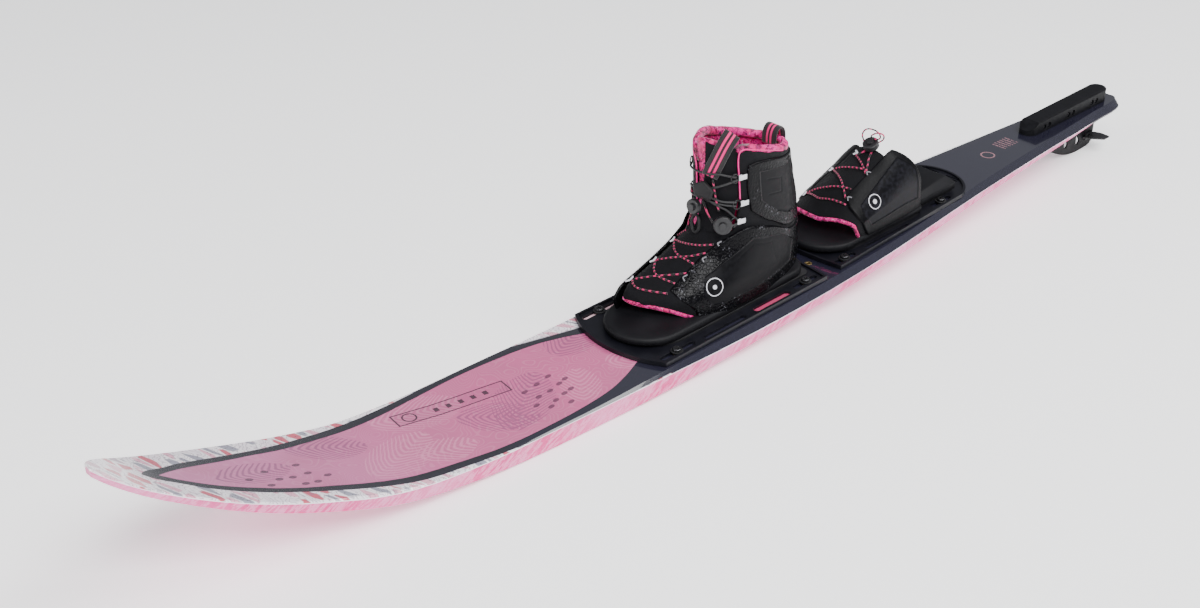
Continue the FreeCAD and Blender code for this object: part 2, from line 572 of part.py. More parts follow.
def fin_block():
    """The long clamp block in its deck pocket, its set screws, end screws and the sliding shoe."""
    solid = slot_solid(*BLOCK_ENDS, 0, 2 * (BLOCK_HALF - 0.1), BLOCK_LOW, BLOCK_TOP)
    solid = soften(solid, BLOCK_TOP - 0.01, 2.5)
    nose = prism([(198, 60), (198, 41), (222, 27), (230, 27), (230, 60)], -30, 30, "XZ")
    hollow = block(FIN_REAR - 5, FIN_FRONT + 1, -FIN_SLOT / 2, FIN_SLOT / 2, 0, 34.5)
    spots = [(x + step, 27.0) for x in (58, 120, 182) for step in (-6, 6)]
    cutters, pins = [nose, hollow], []
    for x, z in spots:
        cutters.append(rod(2.45, V(x, -30, z), V(x, 30, z)))
        for side in (1, -1):
            cutters.append(rod(4.2, V(x, side * 8.6, z), V(x, side * 20, z)))
            pins.append(rod(2.4, V(x, side * 2.2, z), V(x, side * 12, z)).cut(
                rod(1.2, V(x, side * 9, z), V(x, side * 13, z))))
    parts["fin_block"] = solid.cut(cutters)
    parts["fin_set_screws"] = Part.makeCompound(pins)
    cheeks = [block(40, 190, *sorted((side * 1.5, side * 1.9)), BLOCK_LOW, 33.5) for side in (1, -1)]
    bridge = block(40, 190, -1.9, 1.9, 33.5, 34.2)
    parts["fin_shoe"] = fuse(cheeks + [bridge])


def rest(shapes):
    """Tilts the ski on to its fin and belly, with the origin under the middle of its box."""
    turn = FreeCAD.Placement(V(0, 0, 0), FreeCAD.Rotation(V(0, 1, 0), REST_TILT))
    for shape in shapes.values():
        shape.transformShape(turn.toMatrix())
    box = Part.makeCompound(list(shapes.values())).optimalBoundingBox()
    shift = V(-(box.XMin + box.XMax) / 2, -(box.YMin + box.YMax) / 2, -box.ZMin)
    for shape in shapes.values():
        shape.translate(shift)
    print("rest shift", [round(c, 3) for c in shift], "size", box.XLength, box.YLength, box.ZLength)


def main():
    ski()
    front_plate()
    rear_plate()
    footbeds()
    front_boot()
    boot_laces()
    boot_trim()
    rear_binding()
    fin()
    fin_block()
    rest(parts)
    os.makedirs("parts", exist_ok=True)
    for name, shape in parts.items():
        shape.exportStep("parts/" + name + ".step")


main()
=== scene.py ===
"""Looks of the slalom water ski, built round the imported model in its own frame.

Shapes made here are given in ski coordinates, in millimetres: X from the tail to the tip, Y to the
skier's left, Z up. TO_ROW and MM take them to the row frame, in metres.
"""
import json
import math

import bmesh
import bpy
import numpy as np
from mathutils import Matrix, Vector

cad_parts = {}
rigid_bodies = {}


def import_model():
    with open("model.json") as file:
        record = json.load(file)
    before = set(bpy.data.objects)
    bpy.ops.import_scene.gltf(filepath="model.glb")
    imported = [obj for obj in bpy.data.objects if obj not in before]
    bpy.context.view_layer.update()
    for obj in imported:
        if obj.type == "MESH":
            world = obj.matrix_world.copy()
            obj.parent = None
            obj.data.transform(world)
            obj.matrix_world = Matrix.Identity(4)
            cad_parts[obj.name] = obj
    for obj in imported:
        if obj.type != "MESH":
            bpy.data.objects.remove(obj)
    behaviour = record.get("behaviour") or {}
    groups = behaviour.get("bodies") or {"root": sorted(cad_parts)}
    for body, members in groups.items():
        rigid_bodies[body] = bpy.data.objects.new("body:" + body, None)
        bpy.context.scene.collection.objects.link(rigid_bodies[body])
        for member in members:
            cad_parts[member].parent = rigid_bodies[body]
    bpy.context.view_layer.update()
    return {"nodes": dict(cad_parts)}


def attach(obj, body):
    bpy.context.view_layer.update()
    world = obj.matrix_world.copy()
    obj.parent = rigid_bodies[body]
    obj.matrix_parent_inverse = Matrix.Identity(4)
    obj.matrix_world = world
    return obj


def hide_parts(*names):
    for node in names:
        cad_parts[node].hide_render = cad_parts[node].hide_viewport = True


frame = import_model()
NODES = frame["nodes"]

REST_TILT = math.radians(2.854)
SHIFT = (-0.828652, 0.0, 0.057313)
TO_ROW = Matrix.Translation(SHIFT) @ Matrix.Rotation(REST_TILT, 4, "Y")
MM = TO_ROW @ Matrix.Scale(0.001, 4)
MM_ARRAY = np.array(MM)

SKI_LENGTH = 1651

# The CAD profiles that the soft pieces follow, in millimetres.
# BOOT: height, X of the heel, X of the front, half width
BOOT = [(36.5, 735, 976, 48), (50, 734, 972, 48.5), (62, 735, 962, 48), (72, 736, 945, 46.5),
        (83, 737, 925, 45), (96, 739, 906, 43.5), (109, 742, 895, 42), (124, 744, 890, 40.5),
        (150, 751, 888, 40), (180, 758, 889, 39.5), (210, 763, 890, 39.5), (242, 766, 892, 39.5)]
TOE_SKEW, TOE_BLUNT, SHAFT_ROUND = 0.75, 0.6, 0.88
SKEW_LOW, SKEW_HIGH = 64.0, 108.0
# ARCH: X, half width, height of the crown
ARCH = [(524, 46, 112), (565, 47.5, 118), (605, 48, 103), (647, 48, 84), (676, 47, 61)]
BED_LOW, BED_TOP, WRAP = 27.9, 36.5, 2.4

# The camera: where it stands in ski coordinates, in metres, its turn in degrees and its lens
CAMERA_AT = (2.131, 1.122, 0.992)
YAW, PITCH, ROLL = -133.98, -30.22, -0.23
LENS, SENSOR = 49.77, 36.0
WORLD_LIGHT = 0.3
FLOOR_HALF = 9


# ---------------------------------------------------------------- camera, light, floor

def placed(name, data):
    """A new object in the scene."""
    made = bpy.data.objects.new(name, data)
    bpy.context.scene.collection.objects.link(made)
    return made


def camera():
    yaw, pitch, roll = (math.radians(a) for a in (YAW, PITCH, ROLL))
    ahead = Vector((math.cos(pitch) * math.cos(yaw), math.cos(pitch) * math.sin(yaw), math.sin(pitch)))
    right = ahead.cross(Vector((0, 0, 1))).normalized()
    up = right.cross(ahead)
    across = right * math.cos(roll) + up * math.sin(roll)
    upward = up * math.cos(roll) - right * math.sin(roll)
    turn = Matrix((across, upward, -ahead)).transposed().to_4x4()
    data = bpy.data.cameras.new("camera")
    data.lens, data.sensor_width, data.sensor_fit = LENS, SENSOR, "HORIZONTAL"
    data.clip_start, data.clip_end = 0.05, 60.0
    eye = placed("camera", data)
    eye.matrix_world = TO_ROW @ Matrix.Translation(CAMERA_AT) @ turn
    bpy.context.scene.camera = eye


def softbox(name, at, size, power):
    """A rectangular lamp that faces the middle of the ski."""
    data = bpy.data.lights.new(name, "AREA")
    data.shape, data.size, data.size_y, data.energy = "RECTANGLE", size[0], size[1], power
    lamp = placed(name, data)
    lamp.location = at
    lamp.rotation_mode = "QUATERNION"
    lamp.rotation_quaternion = (-Vector(at)).to_track_quat("-Z", "Y")


def studio():
    world = bpy.data.worlds.new("studio")
    bpy.context.scene.world = world
    world.use_nodes = True
    world.node_tree.nodes["Background"].inputs[0].default_value = (0.93, 0.95, 1.0, 1)
    world.node_tree.nodes["Background"].inputs[1].default_value = WORLD_LIGHT
    softbox("key", (1.2, 2.2, 3.0), (3.0, 1.6), 190)
    softbox("tip_side", (3.4, -0.6, 2.2), (1.6, 1.6), 60)
    softbox("overhead", (-1.6, 1.2, 3.2), (2.4, 2.0), 110)
    mesh = bpy.data.meshes.new("floor")
    corners = [(a * FLOOR_HALF, b * FLOOR_HALF, 0) for a, b in ((-1, -1), (1, -1), (1, 1), (-1, 1))]
    mesh.from_pydata(corners, [], [(0, 1, 2, 3)])
    floor = placed("floor", mesh)
    pale = Shader("floor_pale", Roughness=0.9, Specular_IOR_Level=0.1, Emission_Strength=0.5)
    pale.surface.inputs["Emission Color"].default_value = (1, 1, 1, 1)
    grain = pale.noise(pale.place(), 3.0, 2)
    pale.put_in("Base Color", pale.mix(grain, (0.93, 0.93, 0.94, 1), (0.97, 0.97, 0.975, 1)))
    mesh.materials.append(pale.material)


# ---------------------------------------------------------------- materials

class Wire:
    """A value that runs between a shader's nodes; sums and products of it make math nodes."""

    def __init__(self, shader, socket):
        self.shader, self.socket = shader, socket

    def __add__(self, other):
        return self.shader.math("ADD", self, other)

    def __sub__(self, other):
        return self.shader.math("SUBTRACT", self, other)

    def __rsub__(self, other):
        return self.shader.math("SUBTRACT", other, self)

    def __mul__(self, other):
        return self.shader.math("MULTIPLY", self, other)

    def __truediv__(self, other):
        return self.shader.math("DIVIDE", self, other)

    def __abs__(self):
        return self.shader.math("ABSOLUTE", self)


class Shader:
    """A node material, with short calls for what is used here. Coordinates are ski millimetres."""

    def __init__(self, name, **fixed):
        self.material = bpy.data.materials.new(name)
        self.material.use_nodes = True
        self.tree = self.material.node_tree
        self.surface = self.tree.nodes["Principled BSDF"]
        for socket, number in fixed.items():
            self.surface.inputs[socket.replace("_", " ")].default_value = number

    def add(self, kind, inputs=(), **settings):
        node = self.tree.nodes.new(kind)
        for key, setting in settings.items():
            setattr(node, key, setting)
        for index, given in enumerate(inputs):
            if given is not None:
                self.put(node.inputs[index], given)
        return node

    def put(self, socket, given):
        if isinstance(given, Wire):
            self.tree.links.new(given.socket, socket)
        else:
            socket.default_value = given

    def put_in(self, name, given):
        self.put(self.surface.inputs[name], given)

    def math(self, operation, *values):
        return Wire(self, self.add("ShaderNodeMath", values, operation=operation).outputs[0])

    def sine(self, given):
        return self.math("SINE", given)

    def length(self, where):
        return Wire(self, self.add("ShaderNodeVectorMath", [where], operation="LENGTH").outputs["Value"])

    def place(self):
        """Ski coordinates in millimetres."""
        where = Wire(self, self.add("ShaderNodeTexCoord").outputs["Object"])
        return self.turned(where, SHIFT, (0, REST_TILT, 0), (0.001, 0.001, 0.001))

    def turned(self, where, location=(0, 0, 0), rotation=(0, 0, 0), scale=(1, 1, 1)):
        """The same place seen from an origin, turned and stretched."""
        mapping = self.add("ShaderNodeMapping", vector_type="TEXTURE")
        self.put(mapping.inputs["Vector"], where)
        mapping.inputs["Location"].default_value = location
        mapping.inputs["Rotation"].default_value = rotation
        mapping.inputs["Scale"].default_value = scale
        return Wire(self, mapping.outputs[0])

    def split(self, where):
        return [Wire(self, part) for part in self.add("ShaderNodeSeparateXYZ", [where]).outputs]

    def noise(self, where, size, detail=2.0, rough=0.5, distortion=0.0):
        node = self.add("ShaderNodeTexNoise")
        for name, given in (("Vector", where), ("Scale", 1.0 / size), ("Detail", detail),
                            ("Roughness", rough), ("Distortion", distortion)):
            self.put(node.inputs[name], given)
        return Wire(self, node.outputs[0])

    def cells(self, where, size, feature="F1", output="Distance"):
        node = self.add("ShaderNodeTexVoronoi", feature=feature)
        self.put(node.inputs["Vector"], where)
        node.inputs["Scale"].default_value = 1.0 / size
        return Wire(self, node.outputs[output])

    def mix(self, share, first, second):
        node = self.add("ShaderNodeMix", data_type="RGBA")
        self.put(node.inputs[0], share)
        self.put(node.inputs[6], first)
        self.put(node.inputs[7], second)
        return Wire(self, node.outputs[2])

    def step(self, given, low, high, start=0.0, end=1.0):
        """A smooth step between two levels of a value."""
        node = self.add("ShaderNodeMapRange", interpolation_type="SMOOTHSTEP")
        for index, number in enumerate((given, low, high, start, end)):
            self.put(node.inputs[index], number)
        return Wire(self, node.outputs[0])

    def curve(self, along, points, low, high, top):
        """A value read from a curve of (place, value) points over low to high, up to top."""
        share = Wire(self, self.add("ShaderNodeMapRange", [along, low, high, 0.0, 1.0]).outputs[0])
        node = self.add("ShaderNodeFloatCurve")
        knots = node.mapping.curves[0].points
        while len(knots) < len(points):
            knots.new(0.5, 0.5)
        for knot, (x, y) in zip(knots, sorted(points)):
            knot.location = ((x - low) / (high - low), y / top)
            knot.handle_type = "AUTO_CLAMPED"
        node.mapping.update()
        self.put(node.inputs["Value"], share)
        return Wire(self, node.outputs[0]) * float(top)

    def attribute(self, name):
        return Wire(self, self.add("ShaderNodeAttribute", attribute_name=name).outputs["Fac"])

    def bump(self, height, depth, strength=1.0, normal=None):
        """Bump of that depth in millimetres."""
        node = self.add("ShaderNodeBump")
        node.inputs["Strength"].default_value = strength
        node.inputs["Distance"].default_value = depth * 0.001
        self.put(node.inputs["Height"], height)
        if normal is not None:
            self.put(node.inputs["Normal"], normal)
        self.put_in("Normal", Wire(self, node.outputs[0]))

    def largest(self, values):
        whole = values[0]
        for other in values[1:]:
            whole = self.math("MAXIMUM", whole, other)
        return whole


def rgb(red, green, blue):
    """A linear colour from 0 to 255 display values."""
    return tuple((c / 255 / 12.92 if c < 11 else ((c / 255 + 0.055) / 1.055) ** 2.4)
                 for c in (red, green, blue)) + (1.0,)


PINK_MID = (0.45, 0.05, 0.13, 1)
# The front print: where it begins and ends along the ski, and the half width of its field and band at each X
PRINT_BACK, PRINT_TIP = 1017, 1604
FIELD = [(PRINT_BACK, 36), (1035, 43), (1066, 55), (1097, 63), (1140, 67.5), (1190, 69), (1240, 67), (1310, 59),
         (1365, 53), (1404, 47), (1437, 41), (1474, 36), (1508, 29), (1544, 20), (1572, 9), (1588, 0)]
BAND = [(PRINT_BACK, 80), (1200, 80), (1230, 77.5), (1290, 71.5), (1350, 66), (1384, 61), (1436, 51.5),
        (1470, 45.5), (1506, 39), (1553, 27), (1575, 17), (1596, 8), (PRINT_TIP, 0)]
SPOTS = [(1124, -3), (1114, 13), (1144, 1), (1125, 16), (1164, 4), (1142, 20), (1123, 32), (1134, 34),
         (1159, 21), (1150, 38), (1140, 51), (1172, 32), (1162, 44), (1483, -1), (1478, 16), (1463, 15),
         (1444, 11), (1445, -7), (1445, 29), (1493, 26), (1459, 30), (1428, 20), (1507, 12)]
FRONDS = [(1090, -30, 200, 75, 30), (1060, 20, 158, 90, 30), (1225, 50, 215, 120, 34),
          (1330, -50, 170, 110, 32), (1250, -8, 140, 90, 28), (1390, 40, 205, 110, 30),
          (1440, -42, 165, 90, 26), (1330, 30, 172, 70, 22), (1540, 8, 190, 90, 20),
          (1130, 62, 235, 70, 24)]


def frond(shader, where, x, y, turn, length, width):
    """A palm frond's leaflets, 1 inside them: stripes that lean back from a stem."""
    u, v, _ = shader.split(shader.turned(where, (x, y, 0), (0, 0, math.radians(turn))))
    away = abs(v)
    along = u / float(length)
    arc = shader.sine(along * math.pi)
    reach = shader.math("POWER", shader.math("MAXIMUM", arc, 0.0), 0.6) * float(width)
    inside = shader.step(reach - away, 0.0, 1.0)
    bend = shader.math("POWER", away, 1.6) * 0.14
    lean = u - (away * 0.35 + bend)
    lean = lean + shader.noise(where, 24.0, 1) * 9.0
    stripe = shader.sine(lean * (2 * math.pi / 7.5))
    leaflet = shader.step(stripe, away * 0.04 - 0.7, 0.9)
    span = shader.step(along, 0.0, 0.03) * shader.step(along, 1.0, 0.97)
    return inside * leaflet * span


def deck_material():
    """Printed front under clear gloss, charcoal gloss behind."""
    shader = Shader("deck_print", IOR=1.5, Coat_Weight=1.0, Coat_Roughness=0.03)
    where = shader.place()
    x, y, _ = shader.split(where)
    away = abs(y)
    fibre = shader.noise(shader.turned(where, scale=(1.0, 0.12, 1.0)), 5.0, 3)
    weave = shader.sine((x + y) * 2.2)
    weave = weave * shader.sine((x - y) * 2.2)
    contour = shader.sine(shader.noise(where, 46.0, 1) * 150.0)
    # the field
    cloud = shader.noise(where, 70.0, 3)
    pink = shader.mix(shader.step(x, 1180, 1560), (0.5, 0.085, 0.23, 1), (0.54, 0.16, 0.34, 1))
    pink = shader.mix(shader.step(cloud, 0.35, 0.7) * 0.5, pink, (0.4, 0.09, 0.2, 1))
    pink = shader.mix(shader.step(weave, -1, 1, 0.0, 0.1), pink, rgb(238, 168, 190))
    pink = shader.mix(shader.step(contour, 0.55, 0.95, 0.0, 0.1), pink, rgb(240, 182, 200))
    dark = shader.largest([frond(shader, where, *row) for row in FRONDS[::2]])
    light = shader.largest([frond(shader, where, *row) for row in FRONDS[1::2]])
    pink = shader.mix(dark * 0.55, pink, rgb(112, 58, 96))
    pink = shader.mix(light * 0.3, pink, rgb(236, 160, 190))
    spots = []
    for sx, sy in SPOTS:
        off = shader.turned(where, (sx, sy, 0), (0, 0, math.radians(12)), (4.6, 2.7, 1e4))
        spots.append(shader.step(shader.length(off), 1.12, 0.88))
    pink = shader.mix(shader.largest(spots) * 0.78, pink, rgb(66, 38, 58))
    # the plain bar with a ring, in the place of a title
    bu, bv, _ = shader.split(shader.turned(where, (1236, -30, 0), (0, 0, math.radians(-9))))
    box = shader.step(abs(bu), 69.0, 68.0) * shader.step(abs(bv), 12.0, 11.0)
    core = shader.step(abs(bu), 67.0, 66.0) * shader.step(abs(bv), 10.2, 9.4)
    frame_line = box - core
    ring = shader.length(shader.turned(where, (1286, -38, 0), scale=(1, 1, 1e4)))
    ring = shader.math("COMPARE", ring, 7.5, 1.0)
    ticks = shader.step(shader.sine(bu * 0.42), 0.2, 0.5) * shader.math("COMPARE", bv, 0.0, 3.6)
    ticks = ticks * shader.math("COMPARE", bu, -12.0, 40.0)
    pink = shader.mix(box * 0.18, pink, rgb(120, 62, 92))
    marks = shader.largest([frame_line, ring, ticks])
    pink = shader.mix(marks * 0.9, pink, rgb(40, 30, 40))
    # the floral border outside the band
    slanted = shader.turned(where, rotation=(0, 0, math.radians(28)), scale=(0.55, 1.5, 1.0))
    patch = shader.cells(slanted, 17.0, output="Color")
    tone = shader.split(patch)
    leaf = shader.mix(shader.step(tone[0], 0.5, 0.52), rgb(238, 228, 238), rgb(232, 170, 190))
    leaf = shader.mix(shader.step(tone[1], 0.72, 0.74), leaf, rgb(206, 92, 110))
    leaf = shader.mix(shader.step(tone[2], 0.76, 0.78), leaf, rgb(150, 150, 164))
    vein = shader.cells(slanted, 17.0, "DISTANCE_TO_EDGE")
    leaf = shader.mix(shader.step(vein, 0.16, 0.06), leaf, rgb(246, 240, 246))
    stroke = shader.sine((x + shader.noise(where, 18.0, 2) * 46.0) * 1.1)
    leaf = shader.mix(shader.step(stroke, 0.55, 0.9, 0.0, 0.45), leaf, rgb(118, 96, 122))
    speck = shader.cells(where, 3.4)
    leaf = shader.mix(shader.step(speck, 0.2, 0.14, 0.0, 0.75), leaf, rgb(40, 30, 44))
    # band and back
    fine = shader.noise(where, 2.2, 4)
    charcoal = shader.mix(shader.step(fine, 0.3, 0.75), rgb(26, 24, 33), rgb(38, 36, 47))
    black = shader.mix(shader.step(fibre, 0.3, 0.7), (0.011, 0.0105, 0.02, 1), (0.0145, 0.014, 0.027, 1))
    field_edge = shader.curve(x, FIELD, PRINT_BACK, PRINT_TIP, 100) - away
    band_edge = shader.curve(x, BAND, PRINT_BACK, PRINT_TIP, 100) - away
    in_field = shader.step(field_edge, -0.4, 0.4) * shader.step(x, 1588.5, 1587)
    in_band = shader.step(band_edge, -0.4, 0.4) * shader.step(x, 1604.5, 1603)
    line = shader.math("COMPARE", field_edge, -3.4, 0.55)
    charcoal = shader.mix(line * 0.7, charcoal, rgb(22, 20, 26))
    black_side = shader.step(x, 1262, 1215) * shader.step(y, -8, 8)
    charcoal = shader.mix(black_side, charcoal, black)
    printed = shader.mix(in_band, leaf, charcoal)
    printed = shader.mix(in_field, printed, pink)
    # the far corner of flowers beside the front plate, and the plain deck behind
    corner = shader.step(y, -52, -60) * (shader.step(x, 1128, 1110) * shader.step(x, 1000, 1016))
    corner = corner * shader.step(away - (x - 1016.0) * 0.27, 50.0, 53.0)
    printed = shader.mix(corner, printed, leaf)
    near_slot = shader.math("COMPARE", x, 833.0, 36.0) * shader.math("COMPARE", y, 63.0, 5.4)
    far_slot = shader.math("COMPARE", x, 986.0, 40.0) * shader.math("COMPARE", y, -61.0, 6.0)
    back = shader.mix(near_slot, black, PINK_MID)
    back = shader.mix(far_slot, back, rgb(228, 190, 200))
    label = shader.math("COMPARE", x, 262.0, 17.0) * shader.math("COMPARE", y, -2.0, 11.0)
    rows = shader.step(shader.sine(x * 1.05), 0.1, 0.4)
    rows = rows * shader.step(shader.noise(where, 2.0, 1), 0.4, 0.5)
    ring = shader.length(shader.turned(where, (312, 4, 0), scale=(1, 1, 1e4)))
    marks = shader.math("MAXIMUM", label * rows, shader.math("COMPARE", ring, 9.0, 1.1))
    back = shader.mix(marks * 0.4, back, rgb(214, 150, 160))
    colour = shader.mix(shader.step(x, 1016, 1020), back, printed)
    shader.put_in("Base Color", colour)
    shader.put_in("Roughness", shader.step(cloud, 0.3, 0.8, 0.16, 0.22))
    ripple = shader.noise(shader.turned(where, scale=(1.6, 1.0, 1.0)), 60.0, 1)
    shader.bump(ripple, 0.1, 0.3)
    return shader.material


# The top of the sidewall along the ski: X, height
EDGE_LINE = [(0, 10.7), (60, 10.9), (110, 11.2), (200, 13.8), (300, 15.5), (400, 16.6), (500, 16.3),
             (600, 14.3), (700, 12.6), (800, 11.3), (900, 12.5), (1000, 16.3), (1060, 18.7), (1100, 20.3),
             (1150, 22.1), (1200, 24.1), (1250, 25.7), (1300, 29.6), (1350, 36.0), (1400, 47.6),
             (1450, 65.4), (1500, 85.6), (1550, 108.5), (1600, 135.6), (SKI_LENGTH, 169.4)]


def base_material():
    """Pink sidewall and base with brushed palm strokes and a white line under the deck."""
    shader = Shader("base_print", IOR=1.48, Coat_Weight=0.15, Coat_Roughness=0.12)
    where = shader.place()
    x, y, z = shader.split(where)
    stroke = shader.noise(shader.turned(where, rotation=(0, math.radians(34), math.radians(30)),
                                        scale=(1.0, 1.0, 0.2)), 15.0, 3, 0.6)
    broad = shader.noise(where, 90.0, 2)
    fine = shader.noise(shader.turned(where, rotation=(0, math.radians(-38), math.radians(-32)),
                                      scale=(1.0, 1.0, 0.12)), 4.0, 3, 0.6)
    colour = shader.mix(shader.step(stroke, 0.44, 0.56), (0.84, 0.24, 0.47, 1), (0.74, 0.03, 0.23, 1))
    colour = shader.mix(shader.step(broad, 0.4, 0.7, 0.0, 0.6), colour, (0.9, 0.32, 0.58, 1))
    colour = shader.mix(shader.step(fine, 0.52, 0.66, 0.0, 0.65), colour, (0.66, 0.03, 0.21, 1))
    leaves = shader.largest([frond(shader, where, *row) for row in
                             [(1620, 0, 180, 150, 38), (1470, 30, 200, 150, 45), (1400, -30, 160, 150, 45),
                              (1250, 20, 190, 160, 50), (1050, -10, 170, 170, 50), (850, 10, 188, 170, 50),
                              (620, 0, 176, 170, 40), (420, 0, 184, 170, 34)]])
    colour = shader.mix(leaves * 0.4, colour, (0.68, 0.09, 0.27, 1))
    edge = shader.curve(x, EDGE_LINE, 0, SKI_LENGTH, 200)
    below = edge - z
    colour = shader.mix(shader.step(below, 0.95, 0.6), colour, rgb(248, 244, 250))
    colour = shader.mix(shader.step(x, 112, 84), colour, rgb(26, 26, 32))
    shader.put_in("Base Color", colour)
    shader.put_in("Roughness", shader.step(fine, 0.3, 0.7, 0.24, 0.4))
    shader.bump(shader.noise(where, 1.6, 3), 0.03, 0.5)
    return shader.material


def two_tones(name, first, second, size, rough, fixed):
    """A shader with two close tones by noise and a spread of roughness, and its coordinates."""
    shader = Shader(name, **fixed)
    where = shader.place()
    tone = shader.noise(where, size, 4)
    shader.put_in("Base Color", shader.mix(shader.step(tone, 0.3, 0.7), first, second))
    shader.put_in("Roughness", shader.step(tone, 0.3, 0.7, *rough))
    return shader, where


def plain(name, first, second, size, rough, depth=0.05, bump_size=1.0, **fixed):
    """For cloth, foam and rubber: two tones under a fine grain."""
    shader, where = two_tones(name, first, second, size, rough, fixed)
    shader.bump(shader.noise(where, bump_size, 3), depth, 0.6)
    return shader.material


def core_material():
    """Cream foam, sealed black where it ends at the tail and pink at the tip."""
    shader = Shader("core_foam")
    where = shader.place()
    x = shader.split(where)[0]
    tone = shader.noise(where, 2.0, 4)
    colour = shader.mix(shader.step(tone, 0.3, 0.7), rgb(226, 214, 180), rgb(238, 228, 200))
    colour = shader.mix(shader.step(x, 2.0, 1.0), colour, rgb(26, 26, 32))
    colour = shader.mix(shader.step(x, 1647.0, 1648.0), colour, rgb(232, 140, 180))
    shader.put_in("Base Color", colour)
    shader.put_in("Roughness", shader.step(tone, 0.3, 0.7, 0.8, 0.95))
    shader.bump(shader.noise(where, 1.0, 3), 0.05, 0.6)
    return shader.material


def rounded(name, first, second, size, rough, radius=0.5, **fixed):
    """For hard mouldings and metal: two tones, with the edges softened."""
    shader, where = two_tones(name, first, second, size, rough, fixed)
    soft = shader.add("ShaderNodeBevel", samples=4)
    soft.inputs["Radius"].default_value = radius * 0.001
    shader.bump(shader.noise(where, 0.9, 2), 0.02, 0.5, Wire(shader, soft.outputs[0]))
    return shader.material


def printed_ring(shader, where, centre, radius):
    """A plain ring with a dot, 1 on its lines, where a sphere round its centre meets the surface."""
    away = shader.length(shader.turned(where, centre))
    return shader.math("MAXIMUM", shader.math("COMPARE", away, radius, 0.55), shader.step(away, 3.3, 2.9))


def shell_material(name, border, panel_tones, ring):
    """Black synthetic: the border's finish where 'pebble' is 1, a satin panel where it is 0, one printed ring.

    A border is (crackle depth in mm, roughness low, roughness high, strength of the glints painted into its
    colour)."""
    shader = Shader(name, IOR=1.5, Specular_IOR_Level=0.1)
    where = shader.place()
    pebble = shader.attribute("pebble")
    depth, glossy, dull, painted_glint_level = border
    crack = shader.cells(where, 4.2, "DISTANCE_TO_EDGE")
    lump = shader.noise(where, 3.4, 3, 0.6)
    fine = shader.noise(where, 0.6, 2)
    wear = shader.noise(where, 5.0, 4)
    flat = shader.mix(shader.step(wear, 0.35, 0.7), *panel_tones)
    # painted glints: sparse light flecks mixed into the border's colour, standing for highlights of the lamps
    # on the gloss
    painted_glint_mask = shader.step(shader.noise(where, 2.6, 3, 0.65), 0.56,
                        0.68) * shader.step(shader.noise(where, 15.0, 2), 0.5, 0.64)
    border_colour_with_painted_glints = shader.mix(painted_glint_mask * painted_glint_level, (0.0026, 0.0026, 0.0034, 1), (0.11, 0.11, 0.125, 1))
    colour = shader.mix(pebble, flat, border_colour_with_painted_glints)
    colour = shader.mix(printed_ring(shader, where, *ring), colour, (0.6, 0.6, 0.64, 1))
    shader.put_in("Base Color", colour)
    gloss = shader.step(lump, 0.35, 0.65, glossy, dull)
    satin = shader.step(wear, 0.3, 0.7, 0.4, 0.52)
    keep = 1.0 - pebble
    shader.put_in("Roughness", gloss * pebble + satin * keep)
    rough_height = shader.step(crack, 0.0, 0.2) + lump * 0.9
    height = rough_height * pebble + fine * 0.1
    shader.bump(height, depth, 0.8)
    return shader.material


def cloth_material(name, tone, size=0.75, sheen=0.05):
    """Fine knit, as neoprene is faced with."""
    shader = Shader(name, Specular_IOR_Level=0.12, Sheen_Weight=sheen, Sheen_Roughness=0.4)
    where = shader.place()
    x, y, z = shader.split(where)
    knit = shader.sine((x + y) * (2 * math.pi / size)) * shader.sine(z * (2 * math.pi / size))
    cloud = shader.noise(where, 14.0, 3)
    lighter = tuple(c * 1.8 for c in tone[:3]) + (1.0,)
    shader.put_in("Base Color", shader.mix(shader.step(cloud, 0.3, 0.75), tone, lighter))
    shader.put_in("Roughness", shader.step(cloud, 0.3, 0.7, 0.68, 0.85))
    shader.bump(knit + cloud * 3.0, 0.09, 0.7)
    return shader.material


def lining_material():
    """Pink lining with swirls of magenta, white, wine and charcoal."""
    shader = Shader("lining_swirl", Specular_IOR_Level=0.3, Sheen_Weight=0.35, Sheen_Roughness=0.35)
    where = shader.place()
    drift = shader.noise(where, 16.0, 3, 0.6, 1.6)
    swirl = shader.noise(where, 9.0, 4, 0.55, 2.6)
    blot = shader.noise(where, 6.0, 3, 0.6, 1.0)
    colour = shader.mix(shader.step(drift, 0.36, 0.62), rgb(206, 0, 100), rgb(226, 40, 142))
    colour = shader.mix(shader.step(swirl, 0.61, 0.7), colour, rgb(246, 176, 216))
    colour = shader.mix(shader.step(blot, 0.53, 0.6, 0.0, 0.9), colour, rgb(104, 0, 50))
    colour = shader.mix(shader.step(swirl, 0.45, 0.38, 0.0, 0.9), colour, rgb(34, 14, 48))
    shader.put_in("Base Color", colour)
    shader.put_in("Roughness", shader.step(drift, 0.3, 0.7, 0.5, 0.7))
    shader.bump(shader.noise(where, 1.1, 3), 0.12, 0.6)
    return shader.material


def lace_material():
    """Black braid with pink flecks."""
    shader = Shader("lace_flecked", Specular_IOR_Level=0.3, Sheen_Weight=0.3)
    where = shader.place()
    x, y, z = shader.split(where)
    total = x * 0.5 + (y + z * 0.7)
    dash = shader.sine(total * (2 * math.pi / 4.4))
    shader.put_in("Base Color", shader.mix(shader.step(dash, 0.3, 0.6), (0.005, 0.003, 0.004, 1),
                                           rgb(196, 26, 96)))
    braid = shader.cells(where, 0.8)
    shader.put_in("Roughness", shader.step(braid, 0.2, 0.8, 0.5, 0.8))
    shader.bump(braid, 0.2, 0.8)
    return shader.material


STRIPE_AT, STRIPE_HALF = 2.7, 1.35      # a stripe's place either side of the middle, and its half width


